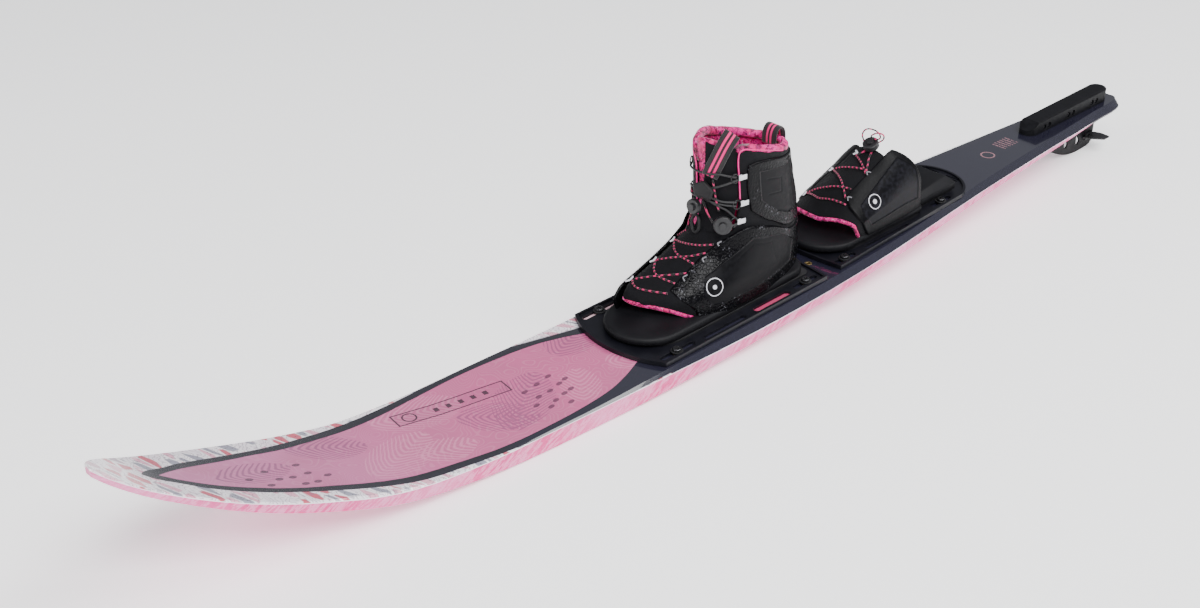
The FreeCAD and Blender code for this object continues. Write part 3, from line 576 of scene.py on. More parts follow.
def strap_material(name, black, pink, low, high):
    """Black webbing with two stripes along it."""
    shader = Shader(name, Specular_IOR_Level=0.3, Sheen_Weight=0.3)
    where = shader.place()
    across = abs(shader.attribute("across"))
    away = abs(across - STRIPE_AT)
    stripe = shader.step(away, STRIPE_HALF + 0.15, STRIPE_HALF - 0.15)
    shader.put_in("Base Color", shader.mix(stripe, black, pink))
    rib = shader.cells(shader.turned(where, scale=(0.5, 2.0, 0.5)), 0.9)
    shader.put_in("Roughness", shader.step(rib, 0.2, 0.8, low, high))
    shader.bump(rib, 0.16, 0.8)
    return shader.material


# ---------------------------------------------------------------- surfaces to model on

FOOT_LOW = 31.0
ANGLES = np.linspace(-math.pi, math.pi, 2881)
AROUNDS = np.linspace(-1, 1, 2001)


def value(knots, at):
    """The CAD's smooth curve through its knots."""
    if at <= knots[0][0]:
        return knots[0][1]
    if at >= knots[-1][0]:
        return knots[-1][1]
    slopes = [(b[1] - a[1]) / (b[0] - a[0]) for a, b in zip(knots, knots[1:])]
    ends = [slopes[0]]
    for left, right in zip(slopes, slopes[1:]):
        ends.append(0.0 if left * right <= 0 else 2 * left * right / (left + right))
    ends.append(slopes[-1])
    i = max(k for k in range(len(knots) - 1) if knots[k][0] <= at)
    (x0, y0), (x1, y1) = knots[i], knots[i + 1]
    span = x1 - x0
    t = (at - x0) / span
    return (y0 * (1 + 2 * t) * (1 - t) ** 2 + ends[i] * span * t * (1 - t) ** 2
            + y1 * t * t * (3 - 2 * t) - ends[i + 1] * span * t * t * (1 - t))


def dense(rows, column):
    spots = np.arange(rows[0][0], rows[-1][0] + 0.5, 0.5)
    return spots, np.array([value([(row[0], row[column]) for row in rows], s) for s in spots])


BOOT_CURVES = [dense(BOOT, column) for column in (1, 2, 3)]
ARCH_CURVES = [dense(ARCH, column) for column in (1, 2)]


def boot_surface(angle, high, grow):
    """Points of the boot at angles from the toe and heights, grown outwards."""
    heel, front, half = (np.interp(high, *table) for table in BOOT_CURVES)
    widest = heel + 0.5 * (front - heel)
    toe = 1 - np.clip((high - SKEW_LOW) / (SKEW_HIGH - SKEW_LOW), 0, 1)
    cos, sin = np.cos(angle), np.sin(angle)
    ahead = cos > 0
    power = SHAFT_ROUND + (TOE_BLUNT - SHAFT_ROUND) * toe * ahead
    reach = np.where(ahead, front - widest, widest - heel) + grow
    along = np.sign(cos) * np.abs(cos) ** power
    across = (half + grow) * np.sign(sin) * np.abs(sin) ** power
    x = widest + reach * along - TOE_SKEW * toe * across * np.maximum(0, along)
    return np.stack([x, across, high + 0 * x], -1)


def arch_surface(around, x, grow):
    """Points of the rear arch: around runs from -1 at one foot over the crown, 0, to +1, with x along."""
    half, top = (np.interp(x, *table) for table in ARCH_CURVES)
    spring = BED_TOP + 0.42 * (top - BED_TOP)
    half, top = half + grow, top + grow
    rise = top - spring
    radius = (half * half + rise * rise) / (2 * rise)
    sweep = np.arctan2(half, radius - rise)
    curved = radius * sweep
    straight = spring - FOOT_LOW
    run = np.abs(around) * (curved + straight)
    turn = np.minimum(run, curved) / radius
    y = np.where(run <= curved, radius * np.sin(turn), half)
    z = np.where(run <= curved, top - radius + radius * np.cos(turn), spring - (run - curved))
    return np.stack([x + 0 * y, np.sign(around) * y, z], -1)


def on_boot(points):
    """(angle, height) of the nearest surface points."""
    found = []
    for x, y, z in points:
        ring = boot_surface(ANGLES, np.full_like(ANGLES, z), 0.0)
        found.append((ANGLES[np.argmin((ring[:, 0] - x) ** 2 + (ring[:, 1] - y) ** 2)], z))
    found = np.array(found, float)
    found[:, 0] = np.unwrap(found[:, 0])
    return found


def on_arch(points):
    """(around, x) of the nearest surface points."""
    found = []
    for x, y, z in points:
        ring = arch_surface(AROUNDS, np.full_like(AROUNDS, float(x)), 0.0)
        found.append((AROUNDS[np.argmin((ring[:, 1] - y) ** 2 + (ring[:, 2] - z) ** 2)], x))
    return np.array(found, float)


class Skin:
    """A surface to lay panels on: its points, the way back, and the scale of its first parameter."""

    def __init__(self, surface, back, scale):
        self.surface, self.back, self.scale = surface, back, scale


ON_BOOT = Skin(boot_surface, on_boot, 60.0)
ON_ARCH = Skin(arch_surface, on_arch, 110.0)


def along_line(line, count, scale=1.0, smooth=0):
    """The line's points again, evenly spaced, with its corners eased if asked."""
    line = np.array(line, float)
    for _ in range(smooth):
        line = np.concatenate([line[:1], np.stack([0.75 * line[:-1] + 0.25 * line[1:],
                                                   0.25 * line[:-1] + 0.75 * line[1:]], 1)
                               .reshape(-1, line.shape[1]), line[-1:]])
    gaps = np.diff(line, axis=0)
    gaps[:, 0] *= scale
    run = np.concatenate([[0], np.cumsum(np.linalg.norm(gaps, axis=1))])
    even = np.linspace(0, run[-1], count)
    return np.stack([np.interp(even, run, line[:, k]) for k in range(line.shape[1])], -1)


def coons(bottom, top, left, right):
    """A grid filled in between four edges."""
    nu, nv = len(bottom), len(left)
    u, v = np.linspace(0, 1, nu)[:, None, None], np.linspace(0, 1, nv)[None, :, None]
    lofted = (1 - v) * bottom[:, None] + v * top[:, None]
    crossed = (1 - u) * left[None] + u * right[None]
    corners = ((1 - u) * (1 - v) * bottom[0] + u * (1 - v) * bottom[-1]
               + (1 - u) * v * top[0] + u * v * top[-1])
    return lofted + crossed - corners


def row_points(points):
    points = np.array(points, float).reshape(-1, 3)
    return points @ MM_ARRAY[:3, :3].T + MM_ARRAY[:3, 3]


def smoothed(mesh):
    mesh.polygons.foreach_set("use_smooth", np.ones(len(mesh.polygons), bool))


def mesh_object(name, points, faces, materials, face_material=None):
    """A mesh from points in ski millimetres."""
    mesh = bpy.data.meshes.new(name)
    mesh.from_pydata(row_points(points).tolist(), [], [tuple(map(int, f)) for f in faces])
    for material in materials:
        mesh.materials.append(material)
    if face_material is not None:
        mesh.polygons.foreach_set("material_index", np.array(face_material, np.int32))
    smoothed(mesh)
    mesh.validate()
    mesh.update()
    return placed(name, mesh)


def bmesh_object(name, shape, material):
    """The same from a bmesh, which it frees."""
    bmesh.ops.recalc_face_normals(shape, faces=shape.faces)
    shape.transform(MM)
    mesh = bpy.data.meshes.new(name)
    shape.to_mesh(mesh)
    shape.free()
    mesh.materials.append(material)
    smoothed(mesh)
    return placed(name, mesh)


def grid_faces(nu, nv, start=0, flip=False):
    i, j = np.meshgrid(np.arange(nu - 1), np.arange(nv - 1), indexing="ij")
    a = (start + i * nv + j).ravel()
    quads = np.stack([a, a + nv, a + nv + 1, a + 1], -1)
    return quads[:, ::-1] if flip else quads


def sheet_solid(name, outer, inner, materials, inner_material=0, attributes=None, flip=False):
    """A closed slab between two grids of points, its rim closed."""
    nu, nv = outer.shape[:2]
    total = nu * nv
    border = ([(i, 0) for i in range(nu)] + [(nu - 1, j) for j in range(1, nv)]
              + [(i, nv - 1) for i in range(nu - 2, -1, -1)] + [(0, j) for j in range(nv - 2, 0, -1)])
    ids = [i * nv + j for i, j in border]
    rim = [(a, b, b + total, a + total) for a, b in zip(ids[1:] + ids[:1], ids)]
    faces = np.concatenate([grid_faces(nu, nv), grid_faces(nu, nv, total, True), np.array(rim)])
    if flip:
        faces = faces[:, ::-1]
    count = (nu - 1) * (nv - 1)
    kinds = [0] * count + [inner_material] * count + [0] * len(rim)
    points = np.concatenate([outer.reshape(-1, 3), inner.reshape(-1, 3)])
    made = mesh_object(name, points, faces, materials, kinds)
    for key, numbers in (attributes or {}).items():
        layer = made.data.attributes.new(key, "FLOAT", "POINT")
        layer.data.foreach_set("value", np.concatenate([numbers.ravel(), numbers.ravel()]).astype(np.float32))
    return made


def edge_distance(points):
    """Distance of each grid point from the nearest of the grid's four edges, over the surface."""
    du = np.concatenate([np.zeros((1, points.shape[1])),
                         np.cumsum(np.linalg.norm(np.diff(points, axis=0), axis=2), axis=0)])
    dv = np.concatenate([np.zeros((points.shape[0], 1)),
                         np.cumsum(np.linalg.norm(np.diff(points, axis=1), axis=2), axis=1)], axis=1)
    return np.minimum(np.minimum(du, du[-1:] - du), np.minimum(dv, dv[:, -1:] - dv))


def inside_polygon(polygon, spots, scale):
    """Which spots lie inside, and how far each is from the polygon's line."""
    ring = np.array(polygon) * [scale, 1]
    spots = spots * [scale, 1]
    x, y = spots[..., 0], spots[..., 1]
    inside = np.zeros(x.shape, bool)
    near = np.full(x.shape, 1e9)
    for (x0, y0), (x1, y1) in zip(ring, np.roll(ring, -1, axis=0)):
        crosses = (y0 > y) != (y1 > y)
        with np.errstate(divide="ignore", invalid="ignore"):
            inside ^= crosses & (x < (x1 - x0) * (y - y0) / (y1 - y0) + x0)
        edge = np.array([x1 - x0, y1 - y0])
        t = np.clip(((x - x0) * edge[0] + (y - y0) * edge[1]) / max(edge @ edge, 1e-9), 0, 1)
        near = np.minimum(near, np.hypot(x - x0 - t * edge[0], y - y0 - t * edge[1]))
    return inside, near


def smooth01(t):
    t = np.clip(t, 0, 1)
    return t * t * (3 - 2 * t)


def panel(name, skin, edges, size, thick, materials, low=0.15, back=None, recesses=(), grooves=(),
          round_edge=2.2, inner_material=0, flip=False, puff=0.0, lift=0.0):
    """A slab laid on a surface between four edges: bottom, top, left, right as points in space.

    Lift holds the front half of its top edge off the surface, as laces pull it."""
    nu, nv = size
    lines = [skin.back(edge) for edge in edges]
    counts = (nu, nu, nv, nv)
    bottom, top, left, right = (along_line(line, n, skin.scale, 2) for line, n in zip(lines, counts))
    spots = coons(bottom, top, left, right)
    flat = skin.surface(spots[..., 0], spots[..., 1], low)
    distance = edge_distance(flat)
    rise = np.sqrt(np.maximum(0, 1 - (1 - np.clip(distance / round_edge, 0, 1)) ** 2))
    across, along = np.meshgrid(np.linspace(0, 1, nu), np.linspace(0, 1, nv), indexing="ij")
    raised = lift * smooth01((across - 0.42) / 0.2) * along ** 1.6
    height = low + thick * rise + puff * smooth01(distance / 18.0) + raised
    pebble = np.ones(distance.shape)
    for polygon, depth in recesses:
        inside, near = inside_polygon(skin.back(polygon), spots, skin.scale)
        sunk = np.where(inside, smooth01(near / 1.6), 0.0)
        height = height - depth * sunk + 0.35 * np.exp(-((near - 0.2) / 1.1) ** 2) * ~inside
        pebble = pebble * (1 - sunk)
    for line, width, depth in grooves:
        flat_line = skin.back(line)
        path = along_line(flat_line, 80, skin.scale) * [skin.scale, 1]
        here = spots * [skin.scale, 1]
        near = np.min(np.hypot(here[..., None, 0] - path[:, 0], here[..., None, 1] - path[:, 1]), axis=-1)
        height = height - depth * np.exp(-(near / width) ** 2)
    outer = skin.surface(spots[..., 0], spots[..., 1], height)
    under = low - 0.05 if back is None else back
    inner = skin.surface(spots[..., 0], spots[..., 1], np.full(distance.shape, under) + raised)
    return sheet_solid(name, outer, inner, materials, inner_material, {"pebble": pebble}, flip)


def tube_object(name, points, radius, material, body):
    """A round cord on a NURBS line with the given control points."""
    data = bpy.data.curves.new(name, "CURVE")
    data.dimensions = "3D"
    data.bevel_depth, data.bevel_resolution, data.resolution_u = radius * 0.001, 4, 10
    line = data.splines.new("NURBS")
    line.points.add(len(points) - 1)
    for point, place in zip(line.points, row_points(points)):
        point.co = (*place, 1.0)
    line.order_u = 3
    line.use_endpoint_u = True
    data.use_fill_caps = True
    data.materials.append(material)
    made = placed(name, data)
    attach(made, body)
    return made


def sweep(name, centres, profile, material, body, ups=None, closed=False):
    """A closed profile carried along a line, with its own second axis near 'ups'."""
    centres = np.array(centres, float)
    count, sides = len(centres), len(profile)
    ahead = np.gradient(centres, axis=0)
    if closed:
        ahead = np.roll(centres, -1, axis=0) - np.roll(centres, 1, axis=0)
    ahead /= np.linalg.norm(ahead, axis=1)[:, None]
    ups = np.tile((0.0, 0.0, 1.0), (count, 1)) if ups is None else np.array(ups, float)
    side = np.cross(ahead, ups)
    side /= np.linalg.norm(side, axis=1)[:, None]
    over = np.cross(side, ahead)
    shape = np.array(profile, float)
    if shape.ndim == 2:
        shape = np.tile(shape, (count, 1, 1))
    points = centres[:, None] + side[:, None] * shape[..., :1] + over[:, None] * shape[..., 1:]
    faces = []
    for i in range(count if closed else count - 1):
        for j in range(sides):
            a, b = i * sides + j, i * sides + (j + 1) % sides
            c, d = ((i + 1) % count) * sides + (j + 1) % sides, ((i + 1) % count) * sides + j
            faces.append((a, b, c, d))
    if not closed:
        faces += [tuple(range(sides - 1, -1, -1)), tuple((count - 1) * sides + j for j in range(sides))]
    made = mesh_object(name, points, faces, [material])
    layer = made.data.attributes.new("across", "FLOAT", "POINT")
    layer.data.foreach_set("value", shape[..., 0].ravel().astype(np.float32))
    tidy_normals(made)
    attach(made, body)
    return made


def tidy_normals(made):
    shape = bmesh.new()
    shape.from_mesh(made.data)
    bmesh.ops.recalc_face_normals(shape, faces=shape.faces)
    shape.to_mesh(made.data)
    shape.free()


def oval(wide, high, count=14, power=1.0):
    turns = [2 * math.pi * k / count for k in range(count)]
    return [(wide * math.copysign(abs(math.cos(t)) ** power, math.cos(t)),
             high * math.copysign(abs(math.sin(t)) ** power, math.sin(t))) for t in turns]


def finished(made, body, slot, *nodes):
    """The piece on its body, with the CAD nodes it stands for hidden. Its slot is not used."""
    if made.parent is None:
        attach(made, body)
    if nodes:
        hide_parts(*nodes)


# ---------------------------------------------------------------- pieces shared by both bindings

def lifted(skin, point, out):
    """The point's place on the surface, moved out from it."""
    place = skin.back([point])
    return skin.surface(place[:, 0], place[:, 1], np.array([float(out)]))[0]


def lace(name, skin, ends, out, body, material, radius, steps, sag=0.0):
    """A lace pulled over a surface between its ends, in a smooth line held off it."""
    places = skin.back(ends)
    line = []
    for first, last in zip(places, places[1:]):
        for k in range(steps):
            line.append(first + (last - first) * k / steps)
    line.append(places[-1])
    line = np.array(line)
    swing = out + sag * np.sin(np.linspace(0, math.pi * (len(places) - 1), len(line))) ** 2
    return tube_object(name, skin.surface(line[:, 0], line[:, 1], swing), radius, material, body)


def band_strip(name, centres, across, wide, thick, material, body, slot):
    """Flat webbing: a rounded strip along a line, with its width held along a direction."""
    profile = oval(wide / 2, thick / 2, 16, 0.35)
    centres = along_line(centres, 26, 1.0, 3)
    ahead = np.gradient(centres, axis=0)
    ups = np.cross(np.tile(across, (len(centres), 1)), ahead)
    made = sweep(name, centres, profile, material, body, ups)
    finished(made, body, slot)
    return made


def ring_object(name, centre, normal, long, short, wire, material, body, slot):
    """A closed wire ring round a centre."""
    normal = Vector(normal).normalized()
    first = normal.cross(Vector((1, 0, 0))).normalized()
    second = normal.cross(first)
    turns = np.linspace(0, 2 * math.pi, 29)[:-1]
    line = [Vector(centre) + first * (long * math.cos(t)) + second * (short * math.sin(t)) for t in turns]
    made = sweep(name, line, oval(wire, wire, 10), material, body, np.tile(tuple(normal), (28, 1)), True)
    finished(made, body, slot)
    return made


def padded_block(name, outline, low, high, edge, crown, material):
    """A foam pad with a rounded top edge over an outline that bulges outwards everywhere."""
    outline = np.array(outline, float)
    ahead = np.roll(outline, -1, axis=0) - np.roll(outline, 1, axis=0)
    out = np.stack([ahead[:, 1], -ahead[:, 0]], -1)
    out /= np.linalg.norm(out, axis=1)[:, None]
    if np.sum((outline - outline.mean(0)) * out) < 0:
        out = -out
    layers = [(1.0, low), (0.0, low + 1.0)]
    layers += [(edge * (1 - math.cos(t)), high - edge + edge * math.sin(t))
               for t in np.linspace(0, math.pi / 2, 5)]
    layers += [(edge + 8, high + 0.5 * crown), (edge + 20, high + crown)]
    centre = outline.mean(0)
    points = []
    for inset, level in layers:
        ring = outline - out * inset
        points.append(np.column_stack([ring, np.full(len(ring), level)]))
    inner = centre + (outline - out * (edge + 20) - centre) * 0.4
    points.append(np.column_stack([inner, np.full(len(inner), high + crown)]))
    count = len(outline)
    faces = []
    for layer in range(len(points) - 1):
        for k in range(count):
            a, b = layer * count + k, layer * count + (k + 1) % count
            faces.append((a, b, b + count, a + count))
    faces += [tuple(range(count - 1, -1, -1)), tuple((len(points) - 1) * count + k for k in range(count))]
    made = mesh_object(name, np.concatenate(points), faces, [material])
    tidy_normals(made)
    return made


def pad_outline(rear, front, half, rear_round):
    """A half-round front and rounded rear corners, as the CAD pads have."""
    turns = np.linspace(-math.pi / 2, math.pi / 2, 41)
    points = [(front - half + half * math.cos(t), half * math.sin(t)) for t in turns]
    for start, y in ((math.pi / 2, half - rear_round), (math.pi, -half + rear_round)):
        points += [(rear + rear_round + rear_round * math.cos(start + t),
                    y + rear_round * math.sin(start + t)) for t in np.linspace(0, math.pi / 2, 13)]
    return points


# ---------------------------------------------------------------- front boot

HEEL_SEAM = 0.5      # half the gap between the two sides at the heel


def mirrored(points):
    return [(x, -y, z) for x, y, z in points]


def front_boot(look):
    black, knit, lining = look["shell"], look["neoprene"], look["lining"]
    body = "front_binding"
    # lower wraps
    heel_low, heel_mid = (741, HEEL_SEAM, 33), (744, HEEL_SEAM, 93)
    near = [[heel_low, (748, 27, 33), (775, 42, 32), (830, 47, 31), (890, 48, 31), (931, 43, 32)],
            [heel_mid, (752, 27, 92), (779, 39, 92), (812, 42, 110), (837, 41, 119), (858, 38, 122),
             (879, 30, 113), (889, 24, 107), (903, 15, 95), (922, 10, 80), (943, 6, 66)],
            [heel_low, (741, HEEL_SEAM, 62), heel_mid],
            [(931, 43, 32), (935, 40, 46), (948, 22, 59), (943, 6, 66)]]
    field = [(912, 29, 77), (884, 36, 90), (846, 42, 107), (800, 42, 96), (773, 38, 77), (778, 44, 52),
             (856, 50, 46), (914, 45, 46), (922, 36, 60)]
    inner = [(880, 37, 84), (846, 43, 100), (818, 43, 92), (806, 44, 60), (868, 48, 54), (900, 42, 62)]
    wrap = panel("near_lower_wrap", ON_BOOT, near, (190, 90), WRAP, [black], recesses=[(field, 0.9)],
                 grooves=[(inner[:4], 0.8, 0.35)], lift=2.0)
    finished(wrap, body, "shell_black", "front_lateral_wrap")
    far = [mirrored(near[0][:4]) + [(890, -48, 31), (950, -46, 31), (984, -42, 31)],
           mirrored(near[1][:5]) + [(858, -38, 122), (873, -34, 116), (880, -31, 105), (899, -30, 95),
                                    (925, -31, 82), (950, -32, 72), (975, -34, 62), (990, -37, 53)],
           mirrored(near[2]), [(984, -42, 31), (990, -40, 42), (990, -37, 53)]]
    far_field = [(940, -42, 62), (884, -40, 90), (846, -42, 107), (800, -42, 96), (773, -38, 77),
                 (778, -44, 52), (856, -50, 46), (940, -46, 44)]
    wrap = panel("far_lower_wrap", ON_BOOT, far, (200, 90), WRAP, [black], recesses=[(far_field, 0.9)],
                 flip=True, lift=5.0)
    finished(wrap, body, "shell_black", "front_medial_wrap")
    # cuffs
    cuff = [[(745, HEEL_SEAM, 99), (754, 27, 98), (784, 40, 97), (815, 42, 116), (838, 41, 132),
             (848, 40, 140)], [(765, HEEL_SEAM, 186), (775, 27, 187), (795, 38, 190), (813, 40, 195),
                               (840, 40, 200), (855, 38, 198)],
            [(745, HEEL_SEAM, 99), (757, HEEL_SEAM, 150), (765, HEEL_SEAM, 186)],
            [(848, 40, 140), (855, 40, 165), (856, 39, 182), (855, 38, 198)]]
    outer = [(839, 40, 187), (801, 39, 180), (776, 28, 178), (763, 16, 152), (760, 20, 116), (784, 39, 116),
             (806, 41, 126), (834, 41, 149)]
    hexagon = [(824, 40, 172), (800, 39, 166), (798, 40, 148), (820, 41, 152)]
    for side, name, node in ((1, "near_cuff", "front_lateral_cuff"), (-1, "far_cuff", "front_medial_cuff")):
        turn = mirrored if side < 0 else list
        made = panel(name, ON_BOOT, [turn(edge) for edge in cuff], (150, 110), WRAP, [black],
                     recesses=[(turn(outer), 1.0)], grooves=[(turn(hexagon), 0.9, 0.5)], flip=side < 0)
        finished(made, body, "shell_black", node)
    # liner
    flap = [[heel_low, (750, 27, 33), (775, 42, 33), (830, 47, 33), (890, 48, 33), (930, 44, 33)],
            [(768, HEEL_SEAM, 189), (775, 27, 190), (790, 37, 196), (820, 39, 206), (850, 38, 216),
             (868, 36, 221)],
            [heel_low, (745, HEEL_SEAM, 96), (757, HEEL_SEAM, 150), (764, HEEL_SEAM, 180),
             (768, HEEL_SEAM, 189)], [(930, 44, 33), (926, 40, 60), (900, 38, 90), (875, 38, 115),
                                      (865, 36, 138), (864, 36, 160), (868, 35, 203), (868, 36, 221)]]
    far_flap = [mirrored(flap[0]),
                mirrored(flap[1][:4])
                + [(850, -38, 214), (872, -31, 214), (885, -20, 209), (889, -13, 204)], mirrored(flap[2]),
                [(930, -44, 33), (926, -40, 60), (900, -38, 90), (878, -36, 112), (884, -26, 124),
                 (890, -12, 134), (891, -9, 160), (891, -9, 192), (889, -13, 204)]]
    for side, name in ((1, "near_liner"), (-1, "far_liner")):
        turn = mirrored if side < 0 else list
        made = panel(name, ON_BOOT, far_flap if side < 0 else flap, (120, 110), 1.5, [knit, lining],
                     low=-1.6, back=-4.4, inner_material=1, flip=side < 0)
        finished(made, body, "neoprene", *(["front_liner"] if side > 0 else []))
        rim = [(863, 36, 158), (865, 36, 180), (868, 35, 203), (868, 36, 216), (862, 37, 219.5),
               (850, 38, 216), (820, 39, 206), (795, 37.5, 197)]
        if side < 0:
            rim = [(891, -9, 150), (891, -9, 192), (889, -13, 203), (885, -20, 208), (872, -31, 213.5),
                   (850, -38, 214), (820, -39, 206), (795, -37.5, 197)]
        edge = [lifted(ON_BOOT, p, 0.3) for p in rim]
        piping = tube_object(name + "_piping", edge, 0.9, look["hot_pink"], body)
        finished(piping, body, "pull_webbing")
    # vamp over the toes
    vamp = [[(936, 42, 36), (950, 36, 40), (970, 8, 48), (984, -18, 51.5), (992, -38, 52.5)],
            [(868, 36, 118), (884, 26, 118), (891, 0, 118), (886, -24, 118), (868, -36, 118)],
            [(936, 42, 36), (930, 42, 54), (900, 38, 84), (868, 36, 118)],
            [(992, -38, 52.5), (966, -42, 62), (905, -40, 90), (868, -36, 118)]]
    made = panel("boot_vamp", ON_BOOT, vamp, (90, 90), 1.4, [knit, lining], low=-1.8, back=-4.6,
                 inner_material=1, flip=True, puff=3.0)
    finished(made, body, "neoprene", "front_vamp")
    lip = [lifted(ON_BOOT, p, -1.7) for p in [(936, 41, 33), (944, 38, 37), (955, 31, 42), (963, 20, 46),
                                              (970, 7, 48), (980, -8, 50), (986, -22, 51.5), (992, -37, 52)]]
    line = along_line(lip, 60, 1.0, 3)
    made = sweep("toe_opening_trim", line, oval(2.2, 2.8, 12), lining, body)
    finished(made, body, "pull_webbing")
    tongue(look, body)
    collar(look, body)
    front_laces(look, body)
    # footbed
    bed = padded_block("front_foam_bed", pad_outline(742, 1024, 49.5, 34), BED_LOW, BED_TOP, 4.2, 0.35,
                       look["foam"])
    finished(bed, body, "footbed_foam", "front_footbed")


def tongue(look, body):
    """A padded lining tongue with a black face, its pull tab, a finger handle and a loop."""
    edge = [[(884, 32, 104), (899, 0, 104), (890, -27, 104)],
            [(870, 36, 222), (887, 22, 228), (892, 4, 230), (889, -17, 226)],
            [(884, 32, 104), (874, 35, 150), (871, 36, 190), (870, 36, 222)],
            [(890, -27, 104), (888, -20, 150), (889, -18, 190), (889, -17, 226)]]
    made = panel("tongue_padding", ON_BOOT, edge, (60, 110), 2.6, [look["lining"]], low=-5.6, back=-7.4,
                 round_edge=4.0, flip=True)
    finished(made, body, "neoprene", "front_tongue")
    edge = [[(884, 32, 106), (899, 0, 106), (895, -16, 106)],
            [(860, 38, 219), (884, 27, 223), (892, 2, 227)],
            [(884, 33, 106), (866, 37, 150), (861, 38, 190), (860, 38, 219)],
            [(895, -16, 106), (892, -3, 150), (892, 1, 190), (892, 2, 227)]]
    made = panel("tongue_face", ON_BOOT, edge, (60, 110), 1.3, [look["neoprene"]], low=-3.2, back=-4.4,
                 round_edge=1.6, flip=True)
    finished(made, body, "neoprene")
    tab = [lifted(ON_BOOT, p, 0.2) for p in ((879, 33, 240), (883, 29, 229), (888, 20, 208), (891, 11, 187))]
    tab[0][0] -= 3.0
    across = np.array((-0.45, 0.77, -0.41))
    made = band_strip("tongue_pull_tab", tab, across, 19, 2.0, look["tab"], body, "pull_webbing")
    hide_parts("tongue_pull")
    # pentagon finger handle
    centre = lifted(ON_BOOT, (891, 6, 171), 5.5)
    corners = [(-11.5, -9.5), (11.5, -9.5), (14, 3), (0, 11), (-14, 3)]
    plate = polygon_plate("lace_finger_handle", centre, (1, 0.05, 0.08), corners, 5.0, 1.6, look["rubber"])
    finished(plate, body, "handle_rubber", "lace_handle")
    ring_object("tongue_oval_loop", lifted(ON_BOOT, (893, -5, 124), 2.6), (1, -0.1, 0.3), 6.0, 9.8, 1.7,
                look["rubber"], body, "handle_rubber")


def polygon_plate(name, centre, facing, corners, thick, edge, material):
    """A flat plate facing a way, with rounded corners and edges."""
    facing = Vector(facing).normalized()
    side = Vector((0, 0, 1)).cross(facing).normalized()
    over = facing.cross(side)
    shape = bmesh.new()
    floor = [shape.verts.new(Vector(centre) + side * a + over * b - facing * (thick / 2)) for a, b in corners]
    face = shape.faces.new(floor)
    raised = bmesh.ops.extrude_face_region(shape, geom=[face])
    moved = [item for item in raised["geom"] if isinstance(item, bmesh.types.BMVert)]
    bmesh.ops.translate(shape, verts=moved, vec=facing * thick)
    upright = [e for e in shape.edges if abs((e.verts[0].co - e.verts[1].co).normalized().dot(facing)) > 0.9]
    bmesh.ops.bevel(shape, geom=upright, offset=edge * 1.8, segments=4, profile=0.5, affect="EDGES")
    rims = [e for e in shape.edges if len(e.link_faces) == 2
            and abs(e.link_faces[0].normal.dot(e.link_faces[1].normal)) < 0.5]
    bmesh.ops.bevel(shape, geom=rims, offset=edge, segments=3, profile=0.5, affect="EDGES")
    return bmesh_object(name, shape, material)


def collar(look, body):
    """The stuffed rim of the liner, slightly puckered, from one front edge round the heel to the other."""
    half = [(872, 35, 216), (866, 37, 219), (850, 38, 216), (820, 39, 206), (790, 37, 197), (775, 27, 192.5),
            (769, 12, 190.5), (768, 0, 190)]
    whole = half + mirrored(half[-2:2:-1]) + [(850, -38, 217), (870, -34, 217), (883, -24, 213),
                                              (889, -15, 206), (890, -11, 197)]
    places = along_line(ON_BOOT.back(whole), 240, ON_BOOT.scale, 3)
    turns = np.arange(240)
    wave = 0.45 * np.sin(turns * 0.42) + 0.35 * np.sin(turns * 0.173 + 1.2)
    centres = ON_BOOT.surface(places[:, 0], places[:, 1], -4.2 + 0.3 * wave)
    base = np.array(oval(4.3, 5.4, 18, 0.9))
    shape = base[None] * (1 + 0.05 * wave)[:, None, None]
    ends = np.minimum(1, np.minimum(turns, 239 - turns) / 5.0)
    shape = shape * np.sqrt(np.maximum(0.02, 1 - (1 - ends) ** 2))[:, None, None]
    made = sweep("collar_padding", centres, shape, look["lining"], body)
    finished(made, body, "neoprene")
    # heel pull loop
    line = [(757, 0, 160), (759.5, 0, 186), (760, 0, 201), (765, 0, 208.5), (772, 0, 208), (776.5, 0, 200),
            (776, 0, 187)]
    made = band_strip("heel_pull", line, np.array((0.0, 1.0, 0.0)), 21, 2.2, look["tab"], body,
                      "pull_webbing")
    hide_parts("heel_loop")


